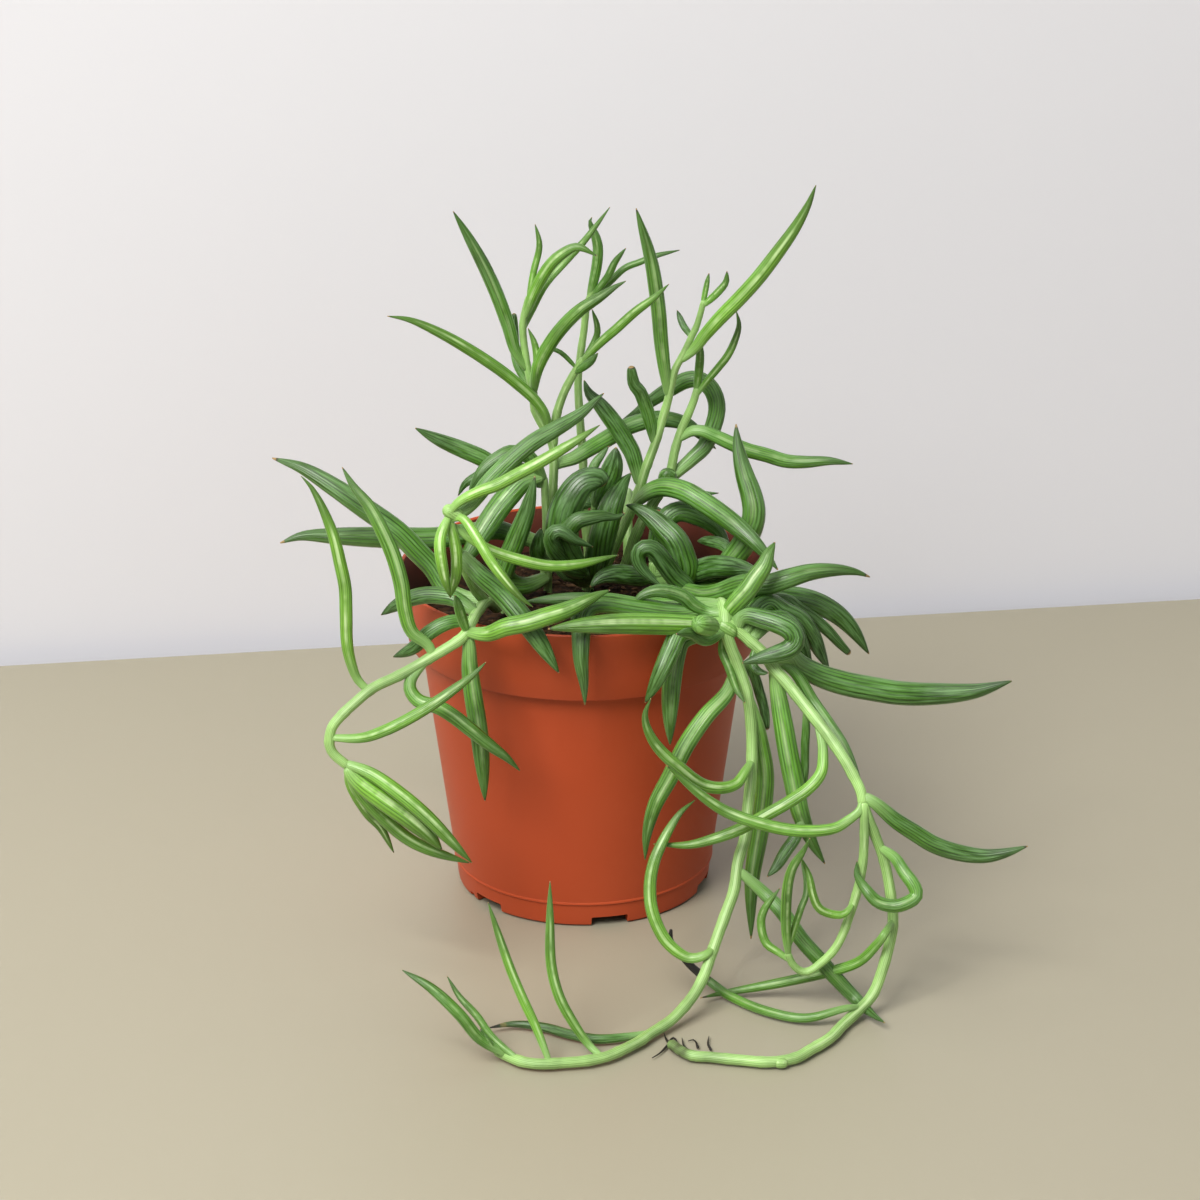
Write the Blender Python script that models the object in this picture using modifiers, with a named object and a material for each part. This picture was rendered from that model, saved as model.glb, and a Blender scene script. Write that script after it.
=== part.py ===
"""Fishhooks senecio in a plastic nursery pot.

A tapered pot with an overhanging rim band stands on the ground plane z = 0 with
its axis on the z axis.  Soil fills it to a little under the rim.  Ten leafy
stems root in plain holes in the soil: four stand upright, three make the low
crown and three hang over the rim, two of them down to the ground.  Every stem
is one solid with its long, pointed, succulent leaves.

Places on the plant are written as they are seen in the reference view: columns
and rows of a 1200 x 1200 picture and the distance towards the viewer from the
pot's axis, in millimetres.  seen() turns them into metres.
"""
import math

import bpy
import bmesh
from mathutils import Vector
from mathutils.geometry import interpolate_bezier

MM = 0.001
GAP = 0.3 * MM              # air between two nodes that touch in real life

# Pot, outside sizes
RIM_RADIUS = 52.5 * MM
RIM_TOP = 94.8 * MM
BAND_FOOT_RADIUS = 49.7 * MM
BAND_FOOT = 74.6 * MM
BODY_TOP_RADIUS = 46.3 * MM
FOOT_LINE_RADIUS = 37.4 * MM
FOOT_LINE = 7.0 * MM
GROUND_RADIUS = 36.4 * MM
WALL = 1.1 * MM
FLOOR = 1.5 * MM
POT_STEPS = 48
SOIL_STEPS = 36
NOTCHES = 6
NOTCH_TURN = 12.0           # degrees to the right of the front
NOTCH_WIDE = 10.5 * MM
NOTCH_HIGH = 2.6 * MM
NOTCH_FROM = 29.0 * MM      # each notch runs out from here through the wall
NOTCH_TO = 40.0 * MM

# Soil
SOIL_TOP = 82.0 * MM
SOIL_MOUND = 1.0 * MM
ROOT_DEPTH = 12.0 * MM
COLLAR = 2.5 * MM           # a stem leaves the soil straight up this far

# Reference view
VIEW_EYE = Vector((4.8, -935.7, 451.2)) * MM
VIEW_PITCH = math.radians(21.39)
VIEW_FOCAL = 3538.0         # picture columns
VIEW_MIDDLE = 600.0

# Leaves: width along the leaf, as parts of the full width
LEAF_SIDES = 5
STEM_SIDES = 6
FULL_AT = 0.42
ROOT_WIDTH = 0.45
TIP_WIDTH = 0.1
LEAF_FLOOR = 0.3 * MM       # thinnest radius of a leaf
CRUMB = 0.01 * MM ** 3      # a separate bit smaller than this is no part of a plant
SIDE_STEP = 14.0 * MM       # longest facet along a leaf or stem
TURN_STEP = 46.0            # most degrees between two rings
ROOT_REACH = 9.0 * MM       # a root closer to a stem than this is sunk into it

COLOURS = {
    "pot": (0.42, 0.085, 0.032),
    "soil": (0.022, 0.013, 0.008),
    "pale": (0.33, 0.56, 0.16),
    "leaf": (0.12, 0.26, 0.05),
    "dark": (0.06, 0.14, 0.045),
}


def clear_scene():
    for obj in list(bpy.data.objects):
        bpy.data.objects.remove(obj, do_unlink=True)


def new_collection(name, parent):
    made = bpy.data.collections.new(name)
    parent.children.link(made)
    return made


def paint(obj, name, roughness):
    material = bpy.data.materials.new(obj.name)
    material.use_nodes = True
    shader = material.node_tree.nodes["Principled BSDF"]
    shader.inputs["Base Color"].default_value = (*COLOURS[name], 1.0)
    shader.inputs["Roughness"].default_value = roughness
    shader.inputs["Metallic"].default_value = 0.0
    obj.data.materials.clear()
    obj.data.materials.append(material)


def activate(obj):
    for other in bpy.context.view_layer.objects:
        other.select_set(False)
    obj.select_set(True)
    bpy.context.view_layer.objects.active = obj


def apply_modifiers(obj):
    activate(obj)
    for modifier in list(obj.modifiers):
        bpy.ops.object.modifier_apply(modifier=modifier.name)


def seen(column, row, near, lift=0.0):
    """The point at a picture position, near mm before the axis, lift m or more up."""
    forward = Vector((0, math.cos(VIEW_PITCH), -math.sin(VIEW_PITCH)))
    upward = Vector((0, math.sin(VIEW_PITCH), math.cos(VIEW_PITCH)))
    ray = forward * VIEW_FOCAL
    ray += Vector((1, 0, 0)) * (column - VIEW_MIDDLE)
    ray += upward * (VIEW_MIDDLE - row)
    point = VIEW_EYE + ray * ((-near * MM - VIEW_EYE.y) / ray.y)
    if point.z < lift:
        point = VIEW_EYE + ray * ((lift - VIEW_EYE.z) / ray.z)
    return point


def pixel_size(point):
    """Metres across one picture column at a point."""
    forward = Vector((0, math.cos(VIEW_PITCH), -math.sin(VIEW_PITCH)))
    return (point - VIEW_EYE).dot(forward) / VIEW_FOCAL


def spread(values, share):
    """A value from an evenly spaced list, share of the way along it."""
    place = share * (len(values) - 1)
    first = min(int(place), len(values) - 2)
    part = place - first
    return values[first] * (1 - part) + values[first + 1] * part


def shares(points):
    """How far along the path each point lies, from 0 to 1."""
    lengths = [0.0]
    for before, after in zip(points, points[1:]):
        lengths.append(lengths[-1] + (Vector(after) - Vector(before)).length)
    return [length / lengths[-1] for length in lengths]


def smooth_path(points, fine=8):
    """A smooth curve through the points: one cubic arc between each two."""
    path = [points[0]]
    last = len(points) - 1
    for i in range(last):
        start, end = points[i], points[i + 1]
        before = points[max(i - 1, 0)]
        after = points[min(i + 2, last)]
        reach = (end - start).length / 3
        lead = (end - before).normalized() * reach
        tail = (after - start).normalized() * reach
        arc = interpolate_bezier(start, start + lead, end - tail, end, fine + 1)
        path.extend(arc[1:])
    return path


def rings(path, step, turn):
    """Places along a fine path for rings: even, and closer where it bends."""
    costs = [0.0]
    for i in range(1, len(path)):
        ahead = path[i] - path[i - 1]
        cost = ahead.length / step
        if i + 1 < len(path):
            bend = ahead.angle(path[i + 1] - path[i], 0.0)
            cost += math.degrees(bend) / turn
        costs.append(costs[-1] + cost)
    count = max(4, round(costs[-1]) + 1)
    picked = []
    at = 0
    for k in range(count + 1):
        goal = costs[-1] * k / count
        while at < len(costs) - 1 and costs[at] < goal:
            at += 1
        if not picked or picked[-1] != at:
            picked.append(at)
    picked[-1] = len(path) - 1
    return picked


def tube(name, path, radii, sides):
    """A closed tube along a path with a radius at each point."""
    profile = bpy.data.curves.new(name + "_section", "CURVE")
    profile.dimensions = "2D"
    ring = profile.splines.new("POLY")
    ring.points.add(sides - 1)
    for i, point in enumerate(ring.points):
        angle = 2 * math.pi * i / sides
        point.co = (math.cos(angle), math.sin(angle), 0, 1)
    ring.use_cyclic_u = True
    section = bpy.data.objects.new(name + "_section", profile)
    bpy.context.scene.collection.objects.link(section)

    curve = bpy.data.curves.new(name, "CURVE")
    curve.dimensions = "3D"
    curve.bevel_mode = "OBJECT"
    curve.bevel_object = section
    curve.use_fill_caps = True
    spline = curve.splines.new("POLY")
    spline.points.add(len(path) - 1)
    for point, place, radius in zip(spline.points, path, radii):
        point.co = (*place, 1)
        point.radius = radius
    line = bpy.data.objects.new(name, curve)
    bpy.context.scene.collection.objects.link(line)
    graph = bpy.context.evaluated_depsgraph_get()
    mesh = bpy.data.meshes.new_from_object(line.evaluated_get(graph))
    place = line.matrix_world.copy()
    bpy.data.objects.remove(line, do_unlink=True)
    bpy.data.objects.remove(section, do_unlink=True)
    weld(mesh)
    made = bpy.data.objects.new(name, mesh)
    made.matrix_world = place
    return made


def weld(mesh):
    work = bmesh.new()
    work.from_mesh(mesh)
    bmesh.ops.remove_doubles(work, verts=work.verts, dist=0.00001)
    bmesh.ops.recalc_face_normals(work, faces=work.faces)
    work.to_mesh(mesh)
    work.free()


def fill_voids(mesh):
    """Removes crumbs, and the skin of any air that crossing leaves have shut in."""
    work = bmesh.new()
    work.from_mesh(mesh)
    left = set(work.faces)
    while left:
        shell = {left.pop()}
        edge_of = list(shell)
        while edge_of:
            face = edge_of.pop()
            for edge in face.edges:
                if len(edge.link_faces) != 2:
                    continue
                for other in edge.link_faces:
                    if other in left:
                        left.remove(other)
                        shell.add(other)
                        edge_of.append(other)
        volume = sum(signed_volume(face) for face in shell)
        if volume < CRUMB:
            bmesh.ops.delete(work, geom=list(shell), context="FACES")
            left = {face for face in left if face.is_valid}
    work.to_mesh(mesh)
    work.free()


def signed_volume(face):
    """Volume between a face and the origin, above zero where it faces away."""
    corners = [vert.co for vert in face.verts]
    return sum(corners[0].dot(corners[i].cross(corners[i + 1])) / 6
               for i in range(1, len(corners) - 1))


def leaf_width(share, tip):
    """Spindle outline: narrow at the root, full before the middle, pointed."""
    if share < FULL_AT:
        away = (FULL_AT - share) / FULL_AT
        return 1 - (1 - ROOT_WIDTH) * away ** 2.2
    away = (share - FULL_AT) / (1 - FULL_AT)
    return 1 - (1 - tip) * away ** 2.3


class Shoot:
    """One leafy stem, built from tubes that are then joined into one solid."""

    def __init__(self, name):
        self.name = name
        self.parts = bpy.data.collections.new(name + "_parts")
        bpy.context.scene.collection.children.link(self.parts)
        self.base = None
        self.base_radius = 0.0
        self.trunk = None
        self.lines = []

    def add(self, path, widths, sides, collar=False):
        """One tube along a fine path; a rooted stem has a ring at its collar."""
        if collar:
            top = next(i for i, place in enumerate(path)
                       if place.z > SOIL_TOP + SOIL_MOUND + COLLAR - GAP)
            keep = [0] + [top + i for i in rings(path[top:], SIDE_STEP, TURN_STEP)]
        else:
            keep = rings(path, SIDE_STEP, TURN_STEP)
        along = shares(path)
        radii = [widths(along[i]) for i in keep]
        places = [Vector((path[i].x, path[i].y, max(path[i].z, radius)))
                  for i, radius in zip(keep, radii)]
        name = f"{self.name}_{len(self.parts.objects)}"
        made = tube(name, places, radii, sides)
        self.parts.objects.link(made)
        return made

    def view_path(self, points, near, wide):
        flat = [Vector(point[:2]) for point in points]
        along = shares(flat)
        first = seen(points[0][0], points[0][1], near[0])
        lift = wide * pixel_size(first) / 2
        path = []
        for point, share in zip(points, along):
            depth = point[2] if len(point) == 3 else spread(near, share)
            path.append(seen(point[0], point[1], depth, lift))
        return path

    def sink(self, root):
        """The nearest place on a stem's middle line, if there is one near by."""
        places = [place for line in self.lines for place in line]
        if not places:
            return root
        nearest = min(places, key=lambda place: (place - root).length)
        return nearest if (nearest - root).length < ROOT_REACH else root

    def stem(self, points, near, wide, rooted=False):
        """A stem along picture positions; wide holds its widths in columns."""
        path = self.view_path(points, near, max(wide))
        scale = pixel_size(path[0]) / 2
        if rooted:
            base = path[0]
            self.base = Vector((base.x, base.y, 0))
            self.base_radius = wide[0] * scale
            low = [Vector((base.x, base.y, SOIL_TOP + z))
                   for z in (-ROOT_DEPTH, -ROOT_DEPTH / 2, SOIL_MOUND + COLLAR)]
            path = low + path[1:]
        else:
            path[0] = self.sink(path[0])
        smooth = smooth_path(path)
        self.lines.append(smooth)
        made = self.add(smooth, lambda share: spread(wide, share) * scale, STEM_SIDES,
                        collar=rooted)
        if self.trunk is None:
            self.trunk = made

    def leaf(self, points, near, wide, tip=TIP_WIDTH):
        """A leaf from its root to its tip; wide is its full width in columns."""
        path = self.view_path(points, near, wide * 1.15)
        path[0] = self.sink(path[0])
        path = smooth_path(path)
        radius = wide * pixel_size(path[0]) / 2 * 1.05
        self.add(path, lambda share: max(radius * leaf_width(share, tip), LEAF_FLOOR),
                 LEAF_SIDES)

    def placed_stem(self, points, radius):
        """A stem that is out of sight, in metres."""
        path = smooth_path([Vector(point) * MM for point in points])
        self.lines.append(path)
        made = self.add(path, lambda share: radius * MM * (1 - 0.35 * share), STEM_SIDES,
                        collar=True)
        if self.trunk is None:
            self.trunk = made
            self.base = Vector((path[0].x, path[0].y, 0))
            self.base_radius = radius * MM

    def placed_leaf(self, points, radius):
        """A leaf that is out of sight, in metres."""
        path = smooth_path([Vector(point) * MM for point in points])
        self.add(path, lambda share: max(radius * MM * leaf_width(share, TIP_WIDTH),
                                         LEAF_FLOOR), LEAF_SIDES)

    def finish(self, home, colour):
        """Joins the parts into one solid."""
        whole = self.trunk
        self.parts.objects.unlink(whole)
        home.objects.link(whole)
        whole.name = self.name
        whole.data.name = self.name
        if len(self.parts.objects):
            join = whole.modifiers.new("leaves", "BOOLEAN")
            join.operation = "UNION"
            join.solver = "EXACT"
            join.use_self = True
            join.operand_type = "COLLECTION"
            join.collection = self.parts
            apply_modifiers(whole)
        for part in list(self.parts.objects):
            bpy.data.objects.remove(part, do_unlink=True)
        weld(whole.data)
        fill_voids(whole.data)
        paint(whole, colour, 0.45)
        return whole


def revolve(name, profile, steps, home):
    """Turns a half outline about the z axis; it runs down its outer side."""
    mesh = bpy.data.meshes.new(name)
    work = bmesh.new()
    corners = [work.verts.new((r, 0, z)) for r, z in profile]
    for before, after in zip(corners, corners[1:]):
        work.edges.new((before, after))
    work.to_mesh(mesh)
    work.free()
    obj = bpy.data.objects.new(name, mesh)
    home.objects.link(obj)
    screw = obj.modifiers.new("turn", "SCREW")
    screw.axis = "Z"
    screw.steps = steps
    screw.render_steps = steps
    screw.use_merge_vertices = True
    screw.merge_threshold = 0.00001
    apply_modifiers(obj)
    weld(obj.data)
    return obj


def inner_radius(height):
    """Radius of the pot's inside wall."""
    if height > BAND_FOOT:
        share = (height - BAND_FOOT) / (RIM_TOP - BAND_FOOT)
        return BAND_FOOT_RADIUS - WALL + share * (RIM_RADIUS - BAND_FOOT_RADIUS)
    share = (height - FOOT_LINE) / (BAND_FOOT - FOOT_LINE)
    return FOOT_LINE_RADIUS - WALL + share * (BODY_TOP_RADIUS - FOOT_LINE_RADIUS)


def make_pot(home, cutters):
    lip = 0.5 * MM
    profile = [
        (0, FLOOR),
        (GROUND_RADIUS - WALL, FLOOR),
        (FOOT_LINE_RADIUS - WALL, FOOT_LINE),
        (BODY_TOP_RADIUS - WALL, BAND_FOOT - lip),
        (BODY_TOP_RADIUS - WALL + lip, BAND_FOOT + lip),
        (BAND_FOOT_RADIUS - WALL, BAND_FOOT + WALL),
        (RIM_RADIUS - WALL, RIM_TOP - lip),
        (RIM_RADIUS - WALL / 2, RIM_TOP),
        (RIM_RADIUS, RIM_TOP - lip),
        (BAND_FOOT_RADIUS, BAND_FOOT),
        (BODY_TOP_RADIUS, BAND_FOOT - lip),
        (FOOT_LINE_RADIUS + lip / 2, FOOT_LINE),
        (FOOT_LINE_RADIUS - lip / 2, FOOT_LINE - lip),
        (GROUND_RADIUS, 0),
        (0, 0),
    ]
    pot = revolve("pot", profile, POT_STEPS, home)
    for i in range(NOTCHES):
        turn = math.radians(NOTCH_TURN + i * 360 / NOTCHES)
        middle = (NOTCH_FROM + NOTCH_TO) / 2
        place = (middle * math.sin(turn), -middle * math.cos(turn), 0)
        bpy.ops.mesh.primitive_cube_add(size=1, location=place, rotation=(0, 0, turn))
        box = bpy.context.object
        box.name = f"notch_{i}"
        box.scale = (NOTCH_WIDE, NOTCH_TO - NOTCH_FROM, 2 * NOTCH_HIGH)
        stow(box, cutters)
    cut(pot, cutters)
    paint(pot, "pot", 0.5)
    return pot


def stow(cutter, cutters):
    for collection in list(cutter.users_collection):
        collection.objects.unlink(cutter)
    cutters.objects.link(cutter)
    cutter.hide_render = True
    cutter.display_type = "WIRE"


def cut(obj, cutters):
    """Takes every cutter away from the object, and then removes them."""
    bpy.context.view_layer.update()
    for cutter in list(cutters.objects):
        taken = obj.modifiers.new(cutter.name, "BOOLEAN")
        taken.operation = "DIFFERENCE"
        taken.solver = "EXACT"
        taken.object = cutter
    apply_modifiers(obj)
    for cutter in list(cutters.objects):
        bpy.data.objects.remove(cutter, do_unlink=True)
    weld(obj.data)


def make_soil(home, cutters, shoots):
    step = BAND_FOOT + WALL + GAP
    profile = [
        (0, SOIL_TOP + SOIL_MOUND),
        (0.6 * RIM_RADIUS, SOIL_TOP + 0.7 * SOIL_MOUND),
        (inner_radius(SOIL_TOP) - GAP, SOIL_TOP - 0.3 * SOIL_MOUND),
        (inner_radius(step) - GAP, step),
        (BODY_TOP_RADIUS - WALL - GAP, step - 0.9 * MM),
        (FOOT_LINE_RADIUS - WALL - GAP, FOOT_LINE),
        (GROUND_RADIUS - WALL - GAP, FLOOR + GAP),
        (0, FLOOR + GAP),
    ]
    soil = revolve("soil", profile, SOIL_STEPS, home)
    for shoot in shoots:
        deep = ROOT_DEPTH + GAP
        high = deep + 2 * COLLAR
        place = shoot.base + Vector((0, 0, SOIL_TOP - deep + high / 2))
        bpy.ops.mesh.primitive_cylinder_add(
            vertices=12, radius=shoot.base_radius + 1.5 * GAP, depth=high, location=place)
        hole = bpy.context.object
        hole.name = shoot.name + "_hole"
        stow(hole, cutters)
    cut(soil, cutters)
    paint(soil, "soil", 0.95)
    return soil


def stem_tall_left():
    s = Shoot("stem_tall_left")
    s.stem([(545, 585), (546, 553), (549, 524), (553, 486), (553, 447), (545, 430),
            (535, 410), (533, 390), (528, 370), (524, 345), (523, 322), (529, 296)],
           (-27, -20, -17, -14, -12, -10), (10, 10, 9, 7), rooted=True)
    s.stem([(553, 447), (556, 418), (563, 395), (573, 375), (584, 358)],
           (-17, -14, -11), (10, 8))
    s.leaf([(528, 372), (516, 352), (508, 325), (497, 295), (485, 268), (470, 240),
            (453, 211)], (-12, -9, -8), 13)
    s.leaf([(551, 440), (545, 415), (535, 400), (520, 386), (500, 370), (470, 350),
            (440, 333), (410, 320), (387, 316)], (-14, -8, -3, 0), 11)
    s.leaf([(528, 300), (534, 270), (539, 250), (539, 240), (535, 224)], (-10, -11), 7)
    s.leaf([(526, 318), (535, 290), (550, 265), (565, 252), (578, 247), (597, 256)],
           (-11, -7, -4), 11)
    s.leaf([(525, 330), (530, 315), (545, 285), (565, 262), (585, 240), (610, 207)],
           (-12, -16, -16), 8)
    s.leaf([(533, 390), (537, 362), (535, 345), (528, 328)], (-12, -7, -8), 8)
    s.leaf([(532, 388), (520, 370), (515, 350), (514, 313)], (-13, -18, -20), 10, 0.5)
    s.leaf([(534, 395), (537, 370), (545, 352), (560, 330), (580, 310), (600, 297),
            (615, 287), (626, 281)], (-12, -5, 0, 2), 13)
    s.leaf([(582, 362), (600, 343), (615, 330), (635, 312), (655, 297), (669, 284)],
           (-11, -6, -3, 0), 10)
    s.leaf([(575, 375), (590, 362), (598, 353)], (-11, -6), 9)
    s.leaf([(576, 368), (560, 352), (543, 347)], (-12, -10), 5)
    s.leaf([(552, 466), (560, 463), (574, 458), (589, 449), (608, 438), (627, 427),
            (641, 422), (656, 419), (673, 420), (688, 425), (703, 437), (716, 449)],
           (-18, -22, -28, -30, -31, -33), 17)
    return s


def stem_tall_middle():
    s = Shoot("stem_tall_middle")
    s.stem([(588, 575), (583, 500), (583, 460), (580, 420), (578, 380), (580, 358),
            (584, 330), (587, 305), (594, 288)], (-36, -34, -32, -31), (9, 9, 7),
           rooted=True)
    s.leaf([(592, 300), (596, 270), (598, 250), (596, 238), (590, 222), (592, 217)],
           (-31, -31), 11)
    s.leaf([(592, 302), (607, 278), (615, 262), (626, 248)], (-31, -27), 8)
    s.leaf([(591, 303), (600, 292), (612, 280), (625, 268), (640, 262), (655, 256),
            (680, 250)], (-31, -34), 7)
    s.leaf([(579, 366), (590, 350), (597, 335), (597, 325), (592, 309)], (-31, -27), 7)
    return s


def stem_tall_right():
    s = Shoot("stem_tall_right")
    s.stem([(597, 590), (607, 563), (616, 543), (627, 519), (636, 500), (645, 471),
            (655, 444), (664, 414), (668, 400), (675, 370), (683, 355), (690, 340),
            (697, 325), (704, 300)], (-23, -21, -17, -14, -12), (11, 11, 9, 6),
           rooted=True)
    s.leaf([(668, 398), (664, 365), (661, 340), (659, 315), (656, 290), (652, 265),
            (647, 245), (641, 225), (636, 208)], (-14, -13, -12), 14)
    s.leaf([(683, 362), (695, 348), (705, 335), (720, 318), (738, 300), (758, 278),
            (778, 252), (795, 228), (808, 205), (816, 185)], (-14, -8, -4, -2), 14)
    s.leaf([(694, 340), (690, 335), (683, 325), (677, 310)], (-13, -18), 7)
    s.leaf([(702, 306), (706, 288), (709, 273)], (-12, -13), 6)
    s.leaf([(703, 306), (712, 298), (720, 290), (726, 282), (727, 271)], (-12, -10), 8)
    s.leaf([(656, 444), (651, 424), (646, 407), (640, 392), (634, 384), (631, 366)],
           (-17, -13), 13, 0.55)
    s.leaf([(638, 503), (650, 491), (665, 487), (684, 491), (703, 502), (722, 515),
            (740, 529), (755, 543), (767, 556), (778, 570)],
           (-20, -8, 0, 10, 15), 20)
    s.leaf([(641, 486), (633, 455), (625, 440), (614, 423), (601, 406), (589, 393),
            (584, 380)], (-19, -21, -22, -24), 17)
    return s


def stem_right():
    s = Shoot("stem_right")
    s.stem([(625, 590), (628, 560), (634, 540), (643, 520), (652, 505), (662, 490),
            (670, 473), (675, 450), (682, 428), (688, 415), (694, 400), (698, 386)],
           (-23, -20, -20, -20), (14, 12, 10, 8), rooted=True)
    s.leaf([(697, 394), (699, 370), (700, 350), (697, 335)], (-20, -18), 8)
    s.leaf([(698, 397), (708, 380), (718, 368), (728, 355), (735, 340), (739, 325),
            (736, 310)], (-20, -16, -16), 7)
    s.leaf([(681, 440), (692, 431), (702, 431), (715, 436), (728, 442), (747, 450),
            (766, 455), (786, 461), (805, 462), (830, 461), (853, 464)],
           (-20, -17, -16, -14), 12)
    s.leaf([(670, 482), (684, 466), (694, 457), (704, 447), (712, 430), (717, 408),
            (712, 390), (700, 380), (687, 380), (673, 387), (651, 401), (637, 412),
            (620, 422)], (-20, -24, -28, -33, -38), 17)
    s.leaf([(664, 488), (667, 480), (668, 470)], (-20, -16), 18, 0.6)
    return s


def stem_front_left():
    s = Shoot("stem_front_left")
    s.stem([(505, 625, 5), (497, 608, 14), (487, 602, 28), (479, 610, 41), (472, 621, 50),
            (467, 632, 54), (458, 641, 56), (430, 658, 58), (400, 675), (373, 688),
            (357, 701), (341, 716), (331, 730), (331, 750), (349, 767)],
           (5, 40, 54, 60, 66, 70, 72), (11, 11, 11, 11, 10), rooted=True)
    s.stem([(488, 604), (477, 592), (468, 576), (460, 555), (452, 530), (448, 514)],
           (30, 46, 58), (11, 9))
    s.leaf([(368, 690), (358, 680), (351, 663), (347, 643), (346, 611), (345, 587),
            (340, 563), (334, 538), (323, 509), (311, 487), (301, 476)],
           (64, 66, 64, 60), 12)
    s.leaf([(432, 656), (428, 645), (412, 632), (405, 611), (401, 583), (393, 555),
            (382, 530), (369, 506), (354, 487), (342, 467)], (57, 58, 54, 48), 15)
    s.leaf([(468, 634), (487, 634), (506, 627), (526, 623), (545, 617), (564, 611),
            (580, 604), (598, 595), (610, 590)], (54, 62, 62, 58, 54), 18)
    s.leaf([(468, 634), (469, 645), (470, 671), (474, 701), (479, 732), (482, 762),
            (485, 801)], (54, 58, 58), 18)
    s.leaf([(333, 738), (361, 738), (386, 730), (410, 718), (433, 704), (453, 690),
            (473, 675), (486, 662)], (70, 74, 72, 68), 11)
    s.leaf([(425, 661), (412, 677), (410, 689), (419, 701), (438, 707), (453, 716),
            (471, 730), (491, 746), (507, 758), (520, 771)], (58, 64, 66, 64), 14)
    s.leaf([(345, 763), (370, 773), (400, 794), (425, 815), (450, 840), (472, 863)],
           (72, 78, 80), 14)
    s.leaf([(346, 765), (352, 780), (366, 800), (392, 826), (410, 840), (430, 850),
            (450, 857), (470, 863)], (72, 70, 72), 10)
    s.leaf([(347, 765), (358, 780), (385, 800), (410, 818), (430, 836), (442, 850)],
           (72, 74, 76), 16)
    s.leaf([(347, 766), (350, 785), (367, 813), (381, 828), (394, 853)],
           (72, 68, 66), 9)
    s.leaf([(448, 514), (459, 502), (478, 492), (497, 485), (516, 475), (535, 465),
            (554, 454), (574, 442), (600, 425)], (58, 60, 56, 52), 12)
    s.leaf([(450, 518), (462, 512), (472, 503), (487, 484), (502, 469), (516, 456),
            (535, 441), (554, 430), (580, 414), (604, 393)], (57, 52, 46, 40), 17)
    s.leaf([(448, 516), (440, 540), (443, 570), (450, 597)], (58, 63, 62), 11)
    s.leaf([(450, 518), (456, 550), (456, 575), (450, 598)], (57, 58, 57), 11)
    s.leaf([(450, 520), (462, 518), (475, 535), (490, 560), (505, 580), (520, 597),
            (533, 607)], (57, 64, 68, 68), 10)
    s.leaf([(452, 525), (470, 538), (490, 550), (520, 560), (550, 566), (580, 564),
            (610, 557), (619, 555)], (56, 56, 50, 42), 11)
    s.leaf([(468, 634), (462, 618), (455, 595)], (54, 60), 10)
    s.leaf([(462, 562), (480, 575), (500, 592), (520, 615), (535, 635), (548, 655),
            (559, 673)], (51, 52, 58, 62), 20)
    s.leaf([(489, 603), (465, 598), (447, 590), (433, 568), (418, 552), (398, 532),
            (366, 509), (334, 487), (302, 468), (272, 458)], (28, 20, 18, 14, 8), 20)
    s.leaf([(477, 612), (455, 599), (430, 595), (412, 598), (395, 606), (381, 615)],
           (44, 40, 38, 36), 17)
    s.leaf([(473, 620), (450, 622), (430, 632), (413, 648), (393, 657)],
           (50, 52, 53, 50), 15)
    return s


def stem_crown_left():
    s = Shoot("stem_crown_left")
    s.stem([(548, 600), (548, 575), (547, 545), (546, 512), (544, 476)],
           (-12, -10, -9, -8), (9, 9, 8), rooted=True)
    s.leaf([(543, 478), (525, 480), (510, 494), (497, 510), (482, 533), (470, 552),
            (463, 562)], (-8, -2, 5), 18, 0.4)
    s.leaf([(547, 580), (522, 586), (504, 576), (507, 562), (516, 540), (526, 514),
            (531, 495), (535, 476)], (-10, 2, 3, 2), 16)
    s.leaf([(547, 545), (515, 535), (497, 530), (466, 534), (434, 538), (405, 538),
            (366, 537), (334, 536), (302, 536), (280, 543)], (-9, -5, 2, 4, 6), 17)
    s.leaf([(544, 484), (520, 474), (493, 465), (482, 458), (461, 449), (437, 439),
            (415, 428)], (-8, -12, -12, -10), 14)
    s.leaf([(544, 480), (530, 458), (512, 452), (500, 457), (484, 469), (472, 486),
            (469, 493)], (-8, -2, 2), 11)
    s.leaf([(544, 482), (515, 466), (492, 468), (478, 476), (465, 484), (458, 496)],
           (-8, -6, -5), 9)
    s.leaf([(547, 565), (538, 555), (539, 540), (541, 528)], (-10, -3, -3), 13)
    return s


def stem_crown_middle():
    s = Shoot("stem_crown_middle")
    s.stem([(588, 602), (590, 570), (592, 535), (597, 500)], (-13, -11, -10, -9),
           (13, 12, 10), rooted=True)
    s.leaf([(590, 582), (571, 566), (562, 540), (564, 515), (572, 496), (584, 482),
            (598, 479), (604, 485)], (-12, 0, 3, 2, 0), 25, 0.55)
    s.leaf([(597, 508), (603, 492), (610, 476), (614, 462), (616, 447)], (-9, -7), 17)
    s.leaf([(596, 504), (590, 484), (594, 466), (609, 446)], (-9, -14), 7)
    s.leaf([(590, 584), (594, 572), (597, 560), (603, 535), (612, 505), (622, 485),
            (631, 473)], (-11, -3, -3, -9), 20)
    s.leaf([(593, 528), (578, 509), (590, 502), (611, 501)], (-10, -14), 9)
    s.leaf([(590, 578), (574, 560), (566, 536), (577, 521), (589, 518), (603, 516),
            (617, 517), (625, 513)], (-12, 6, 10, 9, 6), 14)
    s.leaf([(590, 576), (570, 568), (555, 550), (552, 535), (560, 531), (575, 540),
            (593, 547)], (-11, 6, 12, 14, 13), 13)
    return s


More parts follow.
